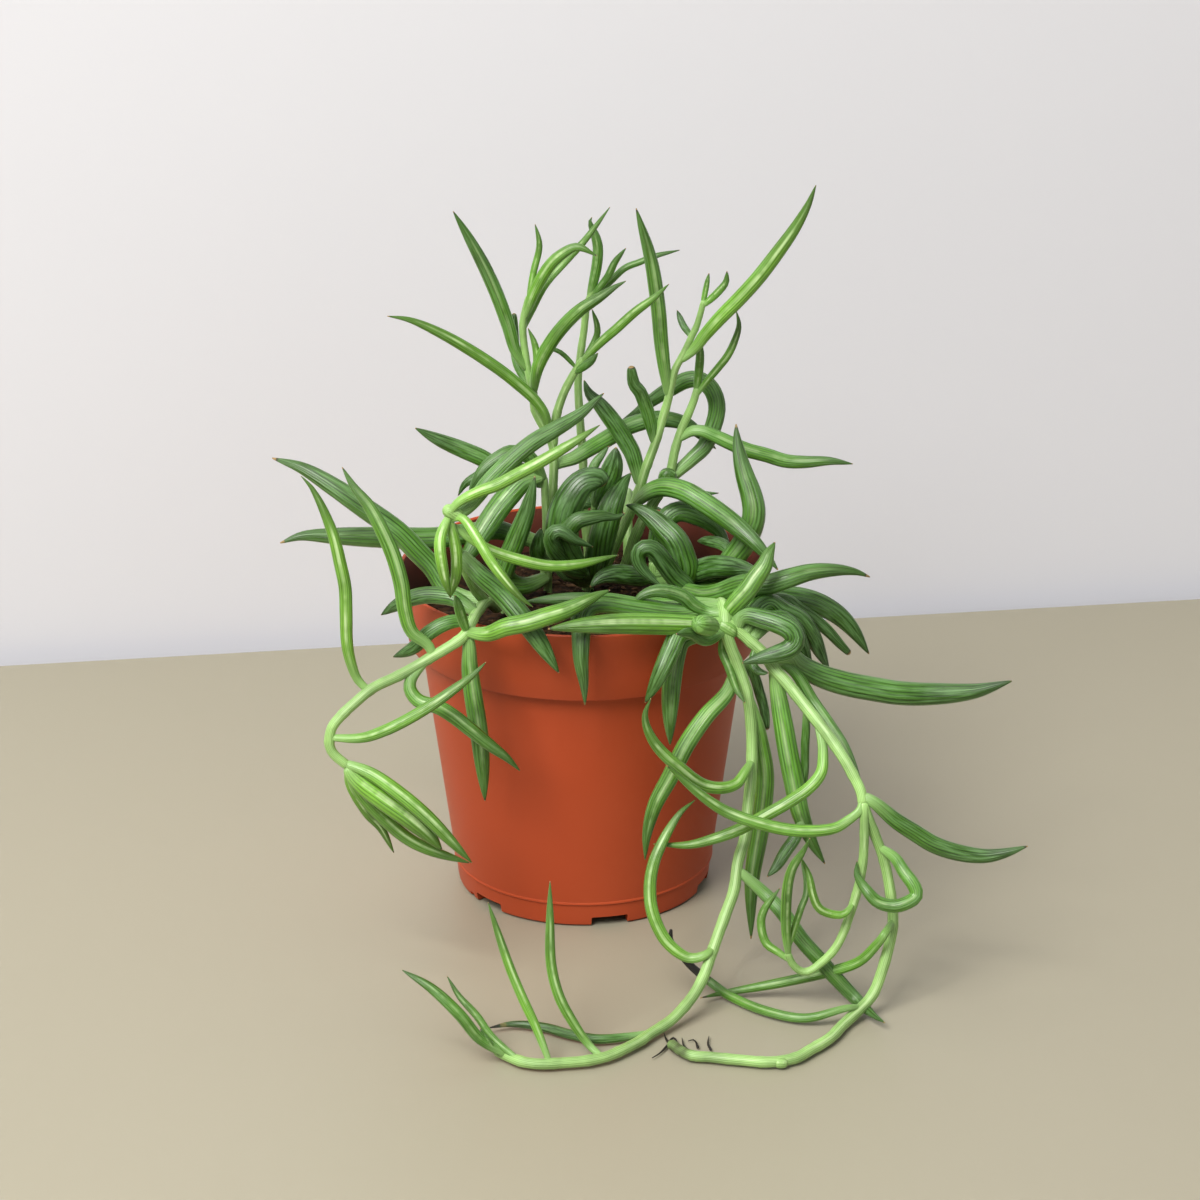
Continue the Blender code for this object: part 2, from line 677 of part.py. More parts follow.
def stem_crown_right():
    s = Shoot("stem_crown_right")
    s.stem([(656, 604), (655, 580), (654, 560)], (-15, -12, -10), (13, 12), rooted=True)
    s.leaf([(655, 580), (678, 584), (686, 572), (681, 552), (675, 540), (663, 528),
            (651, 517), (636, 508), (626, 505)], (-13, 0, 0, -5, -9), 20)
    s.leaf([(655, 582), (676, 593), (686, 588), (675, 577), (663, 561), (656, 552),
            (648, 548), (641, 550), (638, 557), (641, 567), (651, 578), (662, 587)],
           (-13, 6, 9, 10, 13), 13)
    s.leaf([(654, 576), (647, 577), (639, 577), (627, 575), (614, 574), (600, 578),
            (590, 587)], (-12, -1, 3, 6), 16)
    s.leaf([(655, 576), (680, 582), (709, 581), (723, 571), (733, 558), (744, 543),
            (752, 525), (754, 510), (751, 494), (745, 476), (740, 457), (737, 438),
            (736, 424)], (-13, -3, 0, 0, -5, -9), 18)
    s.leaf([(654, 566), (660, 530), (676, 512), (700, 517), (715, 527), (730, 545)],
           (-10, -14, -12), 16)
    s.leaf([(654, 568), (664, 530), (690, 497), (719, 493)], (-10, -17, -17), 7)
    s.leaf([(733, 557), (725, 546), (710, 541), (697, 541)], (0, -5, -8), 10)
    s.leaf([(655, 572), (680, 570), (692, 572), (715, 567), (740, 568), (760, 572)],
           (-12, -4, 6, 15), 18)
    s.leaf([(655, 578), (680, 590), (702, 596), (718, 594), (747, 584), (766, 585),
            (786, 579), (811, 572), (837, 570), (856, 572), (870, 577)],
           (-12, 14, 34, 38, 35, 30), 17)
    return s


def stem_front_right():
    s = Shoot("stem_front_right")
    s.stem([(712, 634, 15), (716, 615, 24), (720, 604, 34), (723, 606, 42), (725, 616, 46),
            (726, 630, 48), (730, 645, 49), (738, 665, 50), (747, 693, 53), (751, 722), (752, 750), (751, 779), (748, 805), (745, 837),
            (738, 862), (734, 890), (726, 913), (718, 935), (711, 955), (705, 973),
            (696, 991), (685, 1006), (670, 1021), (650, 1034), (640, 1041), (620, 1051),
            (605, 1057), (585, 1061), (560, 1063), (540, 1064), (520, 1061), (495, 1050)],
           (15, 48, 52, 56, 62, 70, 78, 88, 100, 104, 110, 112), (13, 13, 12, 12, 11, 11),
           rooted=True)
    s.stem([(725, 622), (742, 634), (751, 642), (764, 654), (772, 666), (787, 683),
            (806, 707), (828, 735), (843, 757), (853, 775), (861, 792), (863, 806)],
           (46, 50, 58, 70, 78), (12, 13, 13, 11))
    s.stem([(863, 800), (864, 812), (864, 844), (862, 869), (857, 892), (850, 914),
            (842, 936), (834, 950), (822, 962), (806, 972), (794, 966), (787, 952)],
           (78, 82, 86, 88), (10, 10, 8))
    s.stem([(863, 800), (866, 812), (875, 835), (884, 860), (890, 890), (893, 920),
            (889, 946), (876, 988), (867, 1002), (847, 1021), (830, 1038), (810, 1050),
            (795, 1058), (770, 1062), (740, 1060), (710, 1057), (690, 1055), (669, 1043)],
           (78, 78, 82, 88, 94, 98, 98, 90), (11, 12, 12, 11))
    s.leaf([(736, 660), (735, 672), (727, 693), (706, 716), (686, 745), (670, 777),
            (655, 805), (647, 834), (645, 860)], (47, 56, 62, 66), 17)
    s.leaf([(751, 760), (745, 772), (736, 784), (719, 788), (701, 784), (681, 769),
            (661, 751), (649, 733), (645, 715), (651, 698)], (60, 70, 74, 74, 72), 13)
    s.leaf([(748, 698), (756, 723), (761, 746), (765, 773), (764, 798), (760, 830),
            (752, 880), (751, 939)], (53, 52, 56, 64), 18)
    s.leaf([(716, 945), (705, 955), (690, 958), (675, 950), (662, 935), (652, 910),
            (650, 885), (654, 862), (662, 843), (670, 828), (681, 812), (695, 800)],
           (86, 84, 80, 74, 68), 13)
    s.leaf([(655, 1033), (625, 1037), (597, 1039), (569, 1034), (543, 1027),
            (513, 1024), (488, 1028)], (104, 96, 92), 10)
    s.leaf([(605, 1059), (589, 1045), (574, 1024), (559, 996), (551, 963), (550, 922),
            (550, 881)], (114, 112, 106, 100), 11)
    s.leaf([(550, 1060), (536, 1027), (523, 999), (510, 968), (497, 930), (488, 902)],
           (118, 112, 104), 10)
    s.leaf([(520, 1060), (492, 1037), (477, 1016), (459, 996), (447, 976)],
           (118, 112, 106), 8)
    s.leaf([(507, 1056), (480, 1039), (459, 1014), (431, 988), (402, 970)],
           (116, 118, 112), 12)
    s.leaf([(770, 662), (782, 663), (797, 675), (812, 700), (828, 723), (844, 747),
            (862, 785)], (48, 50, 60, 72), 13)
    s.leaf([(815, 722), (822, 742), (823, 756), (821, 773), (809, 788), (789, 802),
            (768, 814), (740, 829), (713, 839), (687, 845), (653, 844)],
           (62, 72, 74, 74, 72), 13)
    s.leaf([(774, 668), (776, 680), (778, 693), (783, 722), (788, 751), (794, 782),
            (800, 811), (811, 840), (825, 864)], (50, 56, 62, 66), 20)
    s.leaf([(806, 710), (806, 730), (805, 747), (805, 773), (804, 795)], (58, 58, 60), 9)
    s.leaf([(862, 798), (860, 810), (850, 819), (835, 828), (810, 831), (783, 829),
            (751, 821), (727, 812), (709, 801), (691, 787), (675, 773), (666, 765)],
           (78, 82, 82, 80, 80), 13)
    s.leaf([(862, 794), (875, 803), (895, 820), (915, 833), (935, 845), (960, 853),
            (985, 856), (1005, 853), (1028, 846)], (78, 76, 74, 76), 17)
    s.leaf([(803, 820), (795, 838), (786, 851), (776, 867), (767, 877)], (64, 72), 13)
    s.leaf([(766, 873), (764, 893), (783, 913), (802, 940), (821, 961), (834, 976),
            (856, 999), (872, 1014), (885, 1023)], (70, 80, 84, 86), 16)
    s.leaf([(788, 956), (786, 930), (787, 892), (792, 869), (804, 850), (810, 838)],
           (88, 90, 92), 11)
    s.leaf([(792, 962), (778, 952), (766, 943), (761, 923), (764, 910), (773, 897),
            (780, 888)], (88, 84, 82), 9)
    s.leaf([(853, 906), (844, 914), (831, 914), (819, 908), (813, 895), (809, 876),
            (801, 857)], (87, 90, 88), 9)
    s.leaf([(793, 928), (801, 908), (806, 895), (806, 880), (801, 861)], (90, 84, 80), 7)
    s.leaf([(886, 850), (895, 858), (904, 872), (914, 886), (916, 896), (904, 904),
            (893, 906), (878, 902), (868, 892), (857, 875), (857, 861)],
           (80, 88, 92, 90, 82), 14)
    s.leaf([(892, 925), (884, 935), (878, 943), (860, 961), (836, 970), (798, 979),
            (763, 986), (723, 993), (700, 998)], (90, 84, 80, 78), 11)
    s.leaf([(866, 1003), (847, 1008), (806, 1018), (766, 1011), (730, 996), (713, 984),
            (691, 966), (678, 951), (671, 940), (671, 929)], (94, 96, 84, 76, 72), 10)
    front_lip(s)
    right_drape(s)
    return s


def front_lip(s):
    """Leaves that lie along the front of the rim."""
    s.leaf([(720, 604), (700, 603), (670, 604), (630, 606), (590, 600), (560, 599),
            (523, 602)], (36, 37, 38, 38), 14)
    s.leaf([(722, 624), (707, 612), (694, 606), (684, 597), (670, 592), (656, 591),
            (641, 596), (632, 605)], (43, 44, 46, 48), 13)
    s.leaf([(724, 628), (690, 625), (650, 624), (610, 624), (575, 626), (548, 629)],
           (44, 54, 62, 65), 20)
    s.leaf([(722, 628), (712, 626), (696, 624)], (44, 62), 20, 0.7)
    s.leaf([(716, 618), (680, 612), (640, 608), (600, 603), (583, 612), (581, 637),
            (581, 660), (584, 685), (585, 705)], (42, 46, 50, 60, 62), 19)
    s.leaf([(722, 629), (700, 630), (680, 633), (671, 650), (662, 670), (652, 690),
            (645, 703)], (44, 52, 58, 60), 18)
    s.leaf([(724, 630), (700, 634), (682, 640), (676, 655), (672, 680), (670, 710),
            (670, 745)], (44, 48, 52, 54), 18)
    s.leaf([(723, 630), (707, 640), (690, 633), (676, 634)], (44, 56, 66), 12)
    s.leaf([(724, 628), (722, 648), (729, 668), (737, 690), (745, 703)], (44, 50, 60), 8)
    s.leaf([(736, 662), (752, 672), (760, 694), (765, 713), (767, 730)],
           (47, 46, 50), 10, 0.5)


def right_drape(s):
    """Leaves that hang over the rim's right end."""
    s.leaf([(724, 626), (728, 614), (735, 604), (747, 591), (755, 579), (764, 566),
            (769, 553), (775, 542)], (44, 46, 44, 40), 17)
    s.leaf([(740, 633), (752, 607), (765, 594), (776, 596), (802, 599), (821, 605),
            (838, 615), (853, 630), (869, 654)], (46, 28, 24, 24), 20)
    s.leaf([(742, 634), (765, 602), (785, 600), (800, 610), (815, 620), (828, 631),
            (840, 644), (850, 654)], (47, 33, 29, 28), 12, 0.45)
    s.leaf([(743, 635), (756, 612), (768, 603), (783, 611), (800, 620), (811, 634),
            (820, 652), (829, 670)], (47, 37, 35, 34), 18)
    s.leaf([(750, 641), (775, 618), (792, 625), (800, 640), (808, 659), (811, 668)],
           (48, 42, 39, 38), 14)
    s.leaf([(733, 630), (743, 616), (764, 619), (779, 624), (791, 631), (795, 641),
            (789, 649), (776, 654), (761, 658), (742, 663)], (45, 50, 54, 56), 18)
    s.leaf([(768, 660), (790, 657), (802, 666), (821, 676), (847, 684), (879, 690),
            (899, 693), (930, 694), (975, 691), (1012, 681)], (48, 44, 42, 44), 24)


def stem_back():
    """A short trailing stem behind the pot, out of sight from the front."""
    s = Shoot("stem_back")
    s.placed_stem([(13, 36, 70), (13, 36, 76), (13, 36, 85.5), (13, 41, 95), (13, 50, 99),
                   (13, 58, 94), (12, 62, 82), (9, 63, 68), (8, 63, 56)], 1.6)
    for across, out, high, side, drop in [
            (13, 57, 95, 26, 14), (13, 58, 94, -20, 12), (12, 61, 86, 20, 26),
            (11, 62, 80, -22, 24), (10, 63, 72, 18, 30), (9, 63, 66, -16, 30),
            (8, 63, 60, 6, 34), (8, 63, 58, -6, 30)]:
        s.placed_leaf([(across, out, high),
                       (across + side * 0.4, out + 4, high + 2),
                       (across + side * 0.8, out + 9, high - drop * 0.35),
                       (across + side, out + 8, high - drop)], 2.4)
    return s


def main():
    clear_scene()
    scene = bpy.context.scene.collection
    home = new_collection("potted_fishhooks_senecio", scene)
    cutters = new_collection("cutters", scene)
    shoots = [
        (stem_tall_left(), "leaf"), (stem_tall_middle(), "leaf"),
        (stem_tall_right(), "leaf"), (stem_right(), "leaf"),
        (stem_front_left(), "leaf"), (stem_crown_left(), "dark"),
        (stem_crown_middle(), "dark"), (stem_crown_right(), "dark"),
        (stem_front_right(), "pale"), (stem_back(), "dark"),
    ]
    make_pot(home, cutters)
    make_soil(home, cutters, [shoot for shoot, colour in shoots])
    for shoot, colour in shoots:
        shoot.finish(home, colour)


main()
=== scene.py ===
"""Fishhooks senecio in a terracotta-coloured nursery pot, on a pale table."""
import math
import random

import bpy
import bmesh
from mathutils import Matrix, Vector
from mathutils.geometry import interpolate_bezier


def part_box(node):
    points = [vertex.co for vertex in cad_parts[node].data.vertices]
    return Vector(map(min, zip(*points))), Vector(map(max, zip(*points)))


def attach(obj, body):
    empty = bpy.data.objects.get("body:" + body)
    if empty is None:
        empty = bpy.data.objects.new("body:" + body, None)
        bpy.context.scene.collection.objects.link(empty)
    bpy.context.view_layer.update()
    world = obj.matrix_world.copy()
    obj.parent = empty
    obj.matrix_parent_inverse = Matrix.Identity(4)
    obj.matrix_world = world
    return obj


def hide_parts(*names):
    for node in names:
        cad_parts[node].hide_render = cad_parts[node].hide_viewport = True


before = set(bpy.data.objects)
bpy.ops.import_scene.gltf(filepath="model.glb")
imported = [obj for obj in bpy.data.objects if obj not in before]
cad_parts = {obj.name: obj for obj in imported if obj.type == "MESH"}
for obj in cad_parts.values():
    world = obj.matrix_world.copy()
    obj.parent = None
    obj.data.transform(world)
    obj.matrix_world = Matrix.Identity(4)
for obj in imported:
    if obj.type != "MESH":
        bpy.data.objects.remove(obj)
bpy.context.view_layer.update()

bpy.ops.object.select_all(action="DESELECT")

# Camera: a long lens a metre in front of the plant, a little above it, looking
# down.  The plant's places are given as they are seen from here: columns and rows
# of a 1200 x 1200 picture, and millimetres towards the viewer from the pot's axis.
MM = 0.001
view_eye = Vector((4.8, -935.7, 451.2)) * MM
view_pitch = math.radians(21.39)
view_columns = 1200
view_focal = 3538.0
sensor = 36.0
forward = Vector((0, math.cos(view_pitch), -math.sin(view_pitch)))
upward = Vector((0, math.sin(view_pitch), math.cos(view_pitch)))
bpy.ops.object.camera_add(location=view_eye, rotation=(math.pi / 2 - view_pitch, 0, 0))
camera = bpy.context.object
camera.name = "view_camera"
camera.data.sensor_width = sensor
camera.data.lens = sensor * view_focal / view_columns
camera.data.clip_end = 20
bpy.context.scene.camera = camera


# Table and wall: a matte beige table whose far edge runs off to the right, and a
# pale grey wall behind it that only shows from the front.
def sight(column, row):
    """The ray from the eye through a picture position."""
    ray = forward * view_focal + Vector((1, 0, 0)) * (column - view_columns / 2)
    return ray + upward * (view_columns / 2 - row)


def table_point(column, row):
    """Where a picture position meets the table."""
    ray = sight(column, row)
    return view_eye - ray * (view_eye.z / ray.z)


def add_node(tree, kind, settings=None, values=None, links=None):
    """Adds a node, sets its options and socket values and links its inputs."""
    node = tree.nodes.new(kind)
    for key, value in (settings or {}).items():
        setattr(node, key, value)
    for key, value in (values or {}).items():
        node.inputs[key].default_value = value
    for key, source in (links or {}).items():
        tree.links.new(source, node.inputs[key])
    return node


def new_material(name, roughness, shine=0.5):
    """A material with its node tree and its shader's input sockets."""
    material = bpy.data.materials.new(name)
    material.use_nodes = True
    sockets = material.node_tree.nodes["Principled BSDF"].inputs
    sockets["Roughness"].default_value = roughness
    sockets["Specular IOR Level"].default_value = shine
    return material, material.node_tree, sockets


def colour_ramp(tree, value, stops):
    """A colour ramp; each stop is a position and a colour, in rising order."""
    node = add_node(tree, "ShaderNodeValToRGB", links={"Fac": value})
    first, *middle, last = stops
    for stop, (position, colour) in zip(node.color_ramp.elements, (first, last)):
        stop.position = position
        stop.color = (*colour, 1)
    for position, colour in middle:
        node.color_ramp.elements.new(position).color = (*colour, 1)
    return node.outputs["Color"]


def plain_surface(name, colour, roughness):
    """A matte painted surface with a faint cloudiness."""
    material, tree, sockets = new_material(name, roughness)
    place = add_node(tree, "ShaderNodeTexCoord").outputs["Object"]
    cloud = add_node(tree, "ShaderNodeTexNoise", values={"Scale": 3.0}, links={"Vector": place})
    shade = [0.97 * value for value in colour]
    tree.links.new(colour_ramp(tree, cloud.outputs["Fac"], ((0, shade), (1, colour))),
                   sockets["Base Color"])
    return material


# The far edge is seen to leave the picture on both sides, and runs on beyond them.
table_drop = 0.4 * MM
overrun = 2.0
far_left = table_point(0, 665)
far_right = table_point(1200, 598)
edge = (far_right - far_left).normalized()
far_left = far_left - edge * overrun
far_right = far_right + edge * overrun
bpy.ops.mesh.primitive_plane_add(size=1)
table = bpy.context.object
table.name = "table_top"
front = Vector((0, -3.0, 0))
for corner, place in zip(table.data.vertices,
                         (far_left + front, far_right + front, far_left, far_right)):
    corner.co = place - Vector((0, 0, table_drop))
table.data.materials.append(plain_surface("table_beige", (0.335, 0.305, 0.222), 0.45))
bpy.ops.mesh.primitive_plane_add(size=1)
wall = bpy.context.object
wall.name = "back_wall"
behind = Vector((-edge.y, edge.x, 0)) * 0.01
tall = Vector((0, 0, 2.5))
deep = Vector((0, 0, -0.6))
for corner, place in zip(wall.data.vertices,
                         (far_left + deep, far_right + deep, far_left + tall,
                          far_right + tall)):
    corner.co = place + behind
wall_paint = plain_surface("wall_grey", (0.69, 0.685, 0.71), 0.8)
tree = wall_paint.node_tree
side = add_node(tree, "ShaderNodeNewGeometry")
clear = add_node(tree, "ShaderNodeBsdfTransparent")
one_sided = add_node(tree, "ShaderNodeMixShader", links={
    0: side.outputs["Backfacing"], 1: tree.nodes["Principled BSDF"].outputs["BSDF"],
    2: clear.outputs["BSDF"]})
tree.links.new(one_sided.outputs["Shader"], tree.nodes["Material Output"].inputs["Surface"])
wall.data.materials.append(wall_paint)


# Light: a large soft window to the left of the camera, a weak fill from the right,
# a wash over the wall and a pale room all round.
def soft_light(name, place, aim, size, power, colour):
    """A rectangular lamp at a place, turned towards its aim."""
    bpy.ops.object.light_add(type="AREA", location=place)
    lamp = bpy.context.object
    lamp.name = name
    lamp.rotation_euler = (Vector(aim) - Vector(place)).to_track_quat("-Z", "Y").to_euler()
    lamp.data.shape = "RECTANGLE"
    lamp.data.size, lamp.data.size_y = size
    lamp.data.energy = power
    lamp.data.color = colour


soft_light("window_light", place=(-0.62, -0.98, 1.25), aim=(0, 0, 0.1), size=(0.8, 0.8),
           power=32, colour=(1, 0.985, 0.965))
soft_light("fill_light", place=(1.0, -1.2, 0.8), aim=(0, 0, 0.1), size=(1.2, 1.2),
           power=2.5, colour=(0.97, 0.98, 1))
soft_light("wall_light", place=(-0.5, -0.6, 1.6), aim=(0.2, 1.0, 0.3), size=(1.6, 0.8),
           power=12, colour=(1, 1, 1))
world = bpy.data.worlds.new("soft_room")
bpy.context.scene.world = world
world.use_nodes = True
room = world.node_tree.nodes["Background"].inputs
room["Color"].default_value = (0.93, 0.95, 1, 1)
room["Strength"].default_value = 0.25
bpy.context.scene.view_settings.view_transform = "Standard"


# Pot: a thin-walled injection-moulded nursery pot, satin terracotta-coloured
# plastic, with an overhanging rim band and drainage notches under its foot.
def pick_only(obj):
    """Leaves one object selected and active."""
    bpy.ops.object.select_all(action="DESELECT")
    obj.select_set(True)
    bpy.context.view_layer.objects.active = obj


def apply_all(obj):
    """Applies every modifier, in order."""
    pick_only(obj)
    for modifier in list(obj.modifiers):
        bpy.ops.object.modifier_apply(modifier=modifier.name)


def turned(name, outline, steps):
    """A turned shape: a circle is extruded and scaled from station to station.

    The outline runs from the middle of the inside, over the lip and down the
    outside to the middle of the underside.
    """
    first_radius, first_height = outline[0]
    bpy.ops.object.select_all(action="DESELECT")
    bpy.ops.mesh.primitive_circle_add(vertices=steps, radius=first_radius,
                                      fill_type="NGON",
                                      location=(0, 0, first_height))
    obj = bpy.context.object
    obj.name = name
    bpy.ops.object.transform_apply(location=True, rotation=True, scale=True)
    bpy.ops.object.mode_set(mode="EDIT")
    bpy.ops.mesh.select_all(action="SELECT")
    bpy.ops.mesh.select_mode(type="EDGE")
    bpy.ops.mesh.region_to_loop()
    radius, height = outline[0]
    for next_radius, next_height in outline[1:]:
        bpy.ops.mesh.extrude_edges_move(
            TRANSFORM_OT_translate={"value": (0, 0, next_height - height)})
        scale = next_radius / radius
        bpy.ops.transform.resize(value=(scale, scale, 1),
                                 center_override=(0, 0, next_height))
        radius, height = next_radius, next_height
    bpy.ops.mesh.edge_face_add()
    bpy.ops.mesh.select_all(action="SELECT")
    bpy.ops.mesh.normals_make_consistent(inside=False)
    bpy.ops.object.mode_set(mode="OBJECT")
    return obj


pot_low, pot_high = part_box("pot")
rim_radius = (pot_high[0] - pot_low[0]) / 2
rim_top = pot_high[2]
band_foot_radius = 49.7 * MM
band_foot = 74.6 * MM
body_top_radius = 46.3 * MM
foot_line_radius = 37.4 * MM
foot_line = 7.0 * MM
ground_radius = 36.4 * MM
pot_wall = 1.1 * MM
pot_floor = 1.5 * MM
pot_round = 0.35 * MM
lip_height = 0.5 * MM


def band_radius(height):
    """The outer radius of the rim band, which widens upwards."""
    share = (height - band_foot) / (rim_top - band_foot)
    return band_foot_radius + share * (rim_radius - band_foot_radius)


def body_radius(height):
    """The outer radius of the body, between its foot line and the band."""
    share = (height - foot_line) / (band_foot - foot_line)
    return foot_line_radius + share * (body_top_radius - foot_line_radius)


def stations(radius_at, start, end, count, inset=0.0):
    """Evenly spaced places down a wall, as radii and heights."""
    heights = [start + (end - start) * i / count for i in range(count + 1)]
    return [(radius_at(height) - inset, height) for height in heights]


pot_outline = [(4 * MM, pot_floor), (ground_radius - pot_wall - 0.6 * MM, pot_floor),
               (ground_radius - pot_wall, pot_floor + 0.6 * MM)]
pot_outline += stations(body_radius, foot_line, band_foot - 0.5 * MM, 4, pot_wall)
pot_outline += stations(band_radius, band_foot + pot_wall, rim_top - lip_height, 3, pot_wall)
lip_middle = rim_radius - pot_wall / 2
lip_steps = 8
for i in range(1, lip_steps):
    turn = math.pi * i / lip_steps
    pot_outline.append((lip_middle - pot_wall / 2 * math.cos(turn),
                        rim_top - lip_height + lip_height * math.sin(turn)))
pot_outline += stations(band_radius, rim_top - lip_height, band_foot + pot_round, 3)
pot_outline += [(band_foot_radius - 0.1 * MM, band_foot + 0.1 * MM),
                (band_foot_radius - pot_round, band_foot),
                (body_top_radius + 0.8 * MM, band_foot - 0.1 * MM),
                (body_top_radius + 0.1 * MM, band_foot - 0.8 * MM)]
pot_outline += stations(body_radius, band_foot - 1.6 * MM, foot_line + 0.6 * MM, 8)
pot_outline += [(foot_line_radius + 0.25 * MM, foot_line + 0.25 * MM),
                (foot_line_radius + 0.25 * MM, foot_line - 0.1 * MM),
                (foot_line_radius - 0.25 * MM, foot_line - 0.5 * MM),
                (ground_radius + 0.25 * MM, 1.6 * MM), (ground_radius, pot_round),
                (ground_radius - pot_round, 0), (4 * MM, 0)]
pot = turned("nursery_pot", pot_outline, 192)

notch_count = 6
notch_turn = 12.0
notch_size = (10.5 * MM, 11 * MM, 5.2 * MM)
notch_middle = 34.5 * MM
slot_turns = (-61.0, 119.0)
slot_size = (2.6 * MM, 6 * MM, 2.6 * MM)
cutters = [(notch_turn + i * 360 / notch_count, notch_size) for i in range(notch_count)]
cutters += [(turn, slot_size) for turn in slot_turns]
for turn, size in cutters:
    angle = math.radians(turn)
    reach = notch_middle if size is notch_size else ground_radius
    bpy.ops.mesh.primitive_cube_add(
        size=1, rotation=(0, 0, angle),
        location=(reach * math.sin(angle), -reach * math.cos(angle), 0))
    cutter = bpy.context.object
    cutter.scale = size
    bpy.ops.object.transform_apply(location=True, rotation=True, scale=True)
    corner = cutter.modifiers.new("rounded", "BEVEL")
    corner.width = 0.5 * MM
    corner.segments = 3
    apply_all(cutter)
    cut = pot.modifiers.new("notch", "BOOLEAN")
    cut.operation = "DIFFERENCE"
    cut.solver = "EXACT"
    cut.object = cutter
    apply_all(pot)
    bpy.data.objects.remove(cutter, do_unlink=True)
pick_only(pot)
bpy.ops.object.shade_smooth_by_angle(angle=math.radians(32))


def new_group(name, inputs, outputs):
    """A node group of float sockets: inputs with their defaults, and outputs."""
    group = bpy.data.node_groups.new(name, "ShaderNodeTree")
    for title, default in inputs.items():
        socket = group.interface.new_socket(name=title, in_out="INPUT",
                                            socket_type="NodeSocketFloat")
        socket.default_value = default
    for title in outputs:
        group.interface.new_socket(name=title, in_out="OUTPUT", socket_type="NodeSocketFloat")
    return group, group.nodes.new("NodeGroupInput"), group.nodes.new("NodeGroupOutput")


# Dust, shared by the pot and the soil: a cloudy mask in object space.
dust_group, dust_in, dust_out = new_group(
    "dust_clouds", {"Scale": 40.0, "Amount": 0.5}, ("Mask", "Grain"))
place = add_node(dust_group, "ShaderNodeTexCoord").outputs["Object"]
dust_noise = add_node(dust_group, "ShaderNodeTexNoise", values={"Detail": 5.0},
                      links={"Vector": place, "Scale": dust_in.outputs["Scale"]})
dust_level = add_node(dust_group, "ShaderNodeMapRange",
                      values={"From Min": 0.45, "From Max": 0.75},
                      links={"Value": dust_noise.outputs["Fac"],
                             "To Max": dust_in.outputs["Amount"]})
dust_grain = add_node(dust_group, "ShaderNodeTexNoise",
                      values={"Scale": 900.0, "Detail": 2.0}, links={"Vector": place})
dust_group.links.new(dust_level.outputs["Result"], dust_out.inputs["Mask"])
dust_group.links.new(dust_grain.outputs["Fac"], dust_out.inputs["Grain"])


def dusting(tree, scale, amount):
    """The dust clouds' mask and grain, at a scale."""
    dust = add_node(tree, "ShaderNodeGroup", {"node_tree": dust_group},
                    {"Scale": scale, "Amount": amount})
    return dust.outputs["Mask"], dust.outputs["Grain"]


def mix_colour(tree, factor, first, second):
    """Mixes two colours; each is a socket or a colour value."""
    mix = add_node(tree, "ShaderNodeMix", {"data_type": "RGBA"}, links={"Factor": factor})
    for key, value in (("A", first), ("B", second)):
        if isinstance(value, tuple):
            mix.inputs[key].default_value = (*value, 1)
        else:
            tree.links.new(value, mix.inputs[key])
    return mix.outputs["Result"]


def rise(tree, value, start, end, low=0.0, high=1.0, kind="LINEAR"):
    """A rise from low at start to high at end."""
    return add_node(tree, "ShaderNodeMapRange", {"interpolation_type": kind},
                    {"From Min": start, "From Max": end, "To Min": low, "To Max": high},
                    {"Value": value}).outputs["Result"]


def bump(tree, height, strength, distance):
    """Surface relief from a height."""
    return add_node(tree, "ShaderNodeBump", values={"Strength": strength, "Distance": distance},
                    links={"Height": height}).outputs["Normal"]


pot_plastic, tree, sockets = new_material("pot_plastic", 0.42, 0.22)
dust, grain = dusting(tree, 22.0, 0.6)
tree.links.new(mix_colour(tree, dust, (0.44, 0.066, 0.020), (0.47, 0.080, 0.027)),
               sockets["Base Color"])
tree.links.new(bump(tree, grain, 0.06, 0.2 * MM), sockets["Normal"])
tree.links.new(rise(tree, dust, 0, 1, 0.40, 0.55), sockets["Roughness"])
pot.data.materials.append(pot_plastic)

# Its inside is the same plastic with painted shade: far darker than the outside and darkest down
# by the soil, with clouds of soil dust on it.
pot_inside, tree, sockets = new_material("pot_inside", 0.6)
dust, grain = dusting(tree, 60.0, 0.8)
place = add_node(tree, "ShaderNodeTexCoord").outputs["Object"]
height = add_node(tree, "ShaderNodeSeparateXYZ", links={"Vector": place}).outputs["Z"]
# Painted shade: the inside plastic is far darker than the outside, and the soil dust clouds darken
# it further.
shaded_dusty_inside = mix_colour(tree, dust, (0.16, 0.024, 0.008), (0.07, 0.016, 0.007))
# Painted shade, deepening from 92 mm down to the soil.
shade_towards_soil = rise(tree, height, 92 * MM, 80 * MM, 0.1, 0.9)
tree.links.new(mix_colour(tree, shade_towards_soil, shaded_dusty_inside, (0.028, 0.010, 0.005)), sockets["Base Color"])
pot.data.materials.append(pot_inside)
# The inside faces, up to just under the lip, take this painted shade.
inside_shade_top = rim_top - 1.2 * MM
for face in pot.data.polygons:
    middle = face.center
    if (pot_floor * 0.9 < middle.z < inside_shade_top
            and middle.xy.length < body_radius(middle.z) - 0.6 * pot_wall
            or band_foot + pot_wall <= middle.z < inside_shade_top
            and middle.xy.length < band_radius(middle.z) - 0.6 * pot_wall):
        face.material_index = 1
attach(pot, "root")
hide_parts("pot")


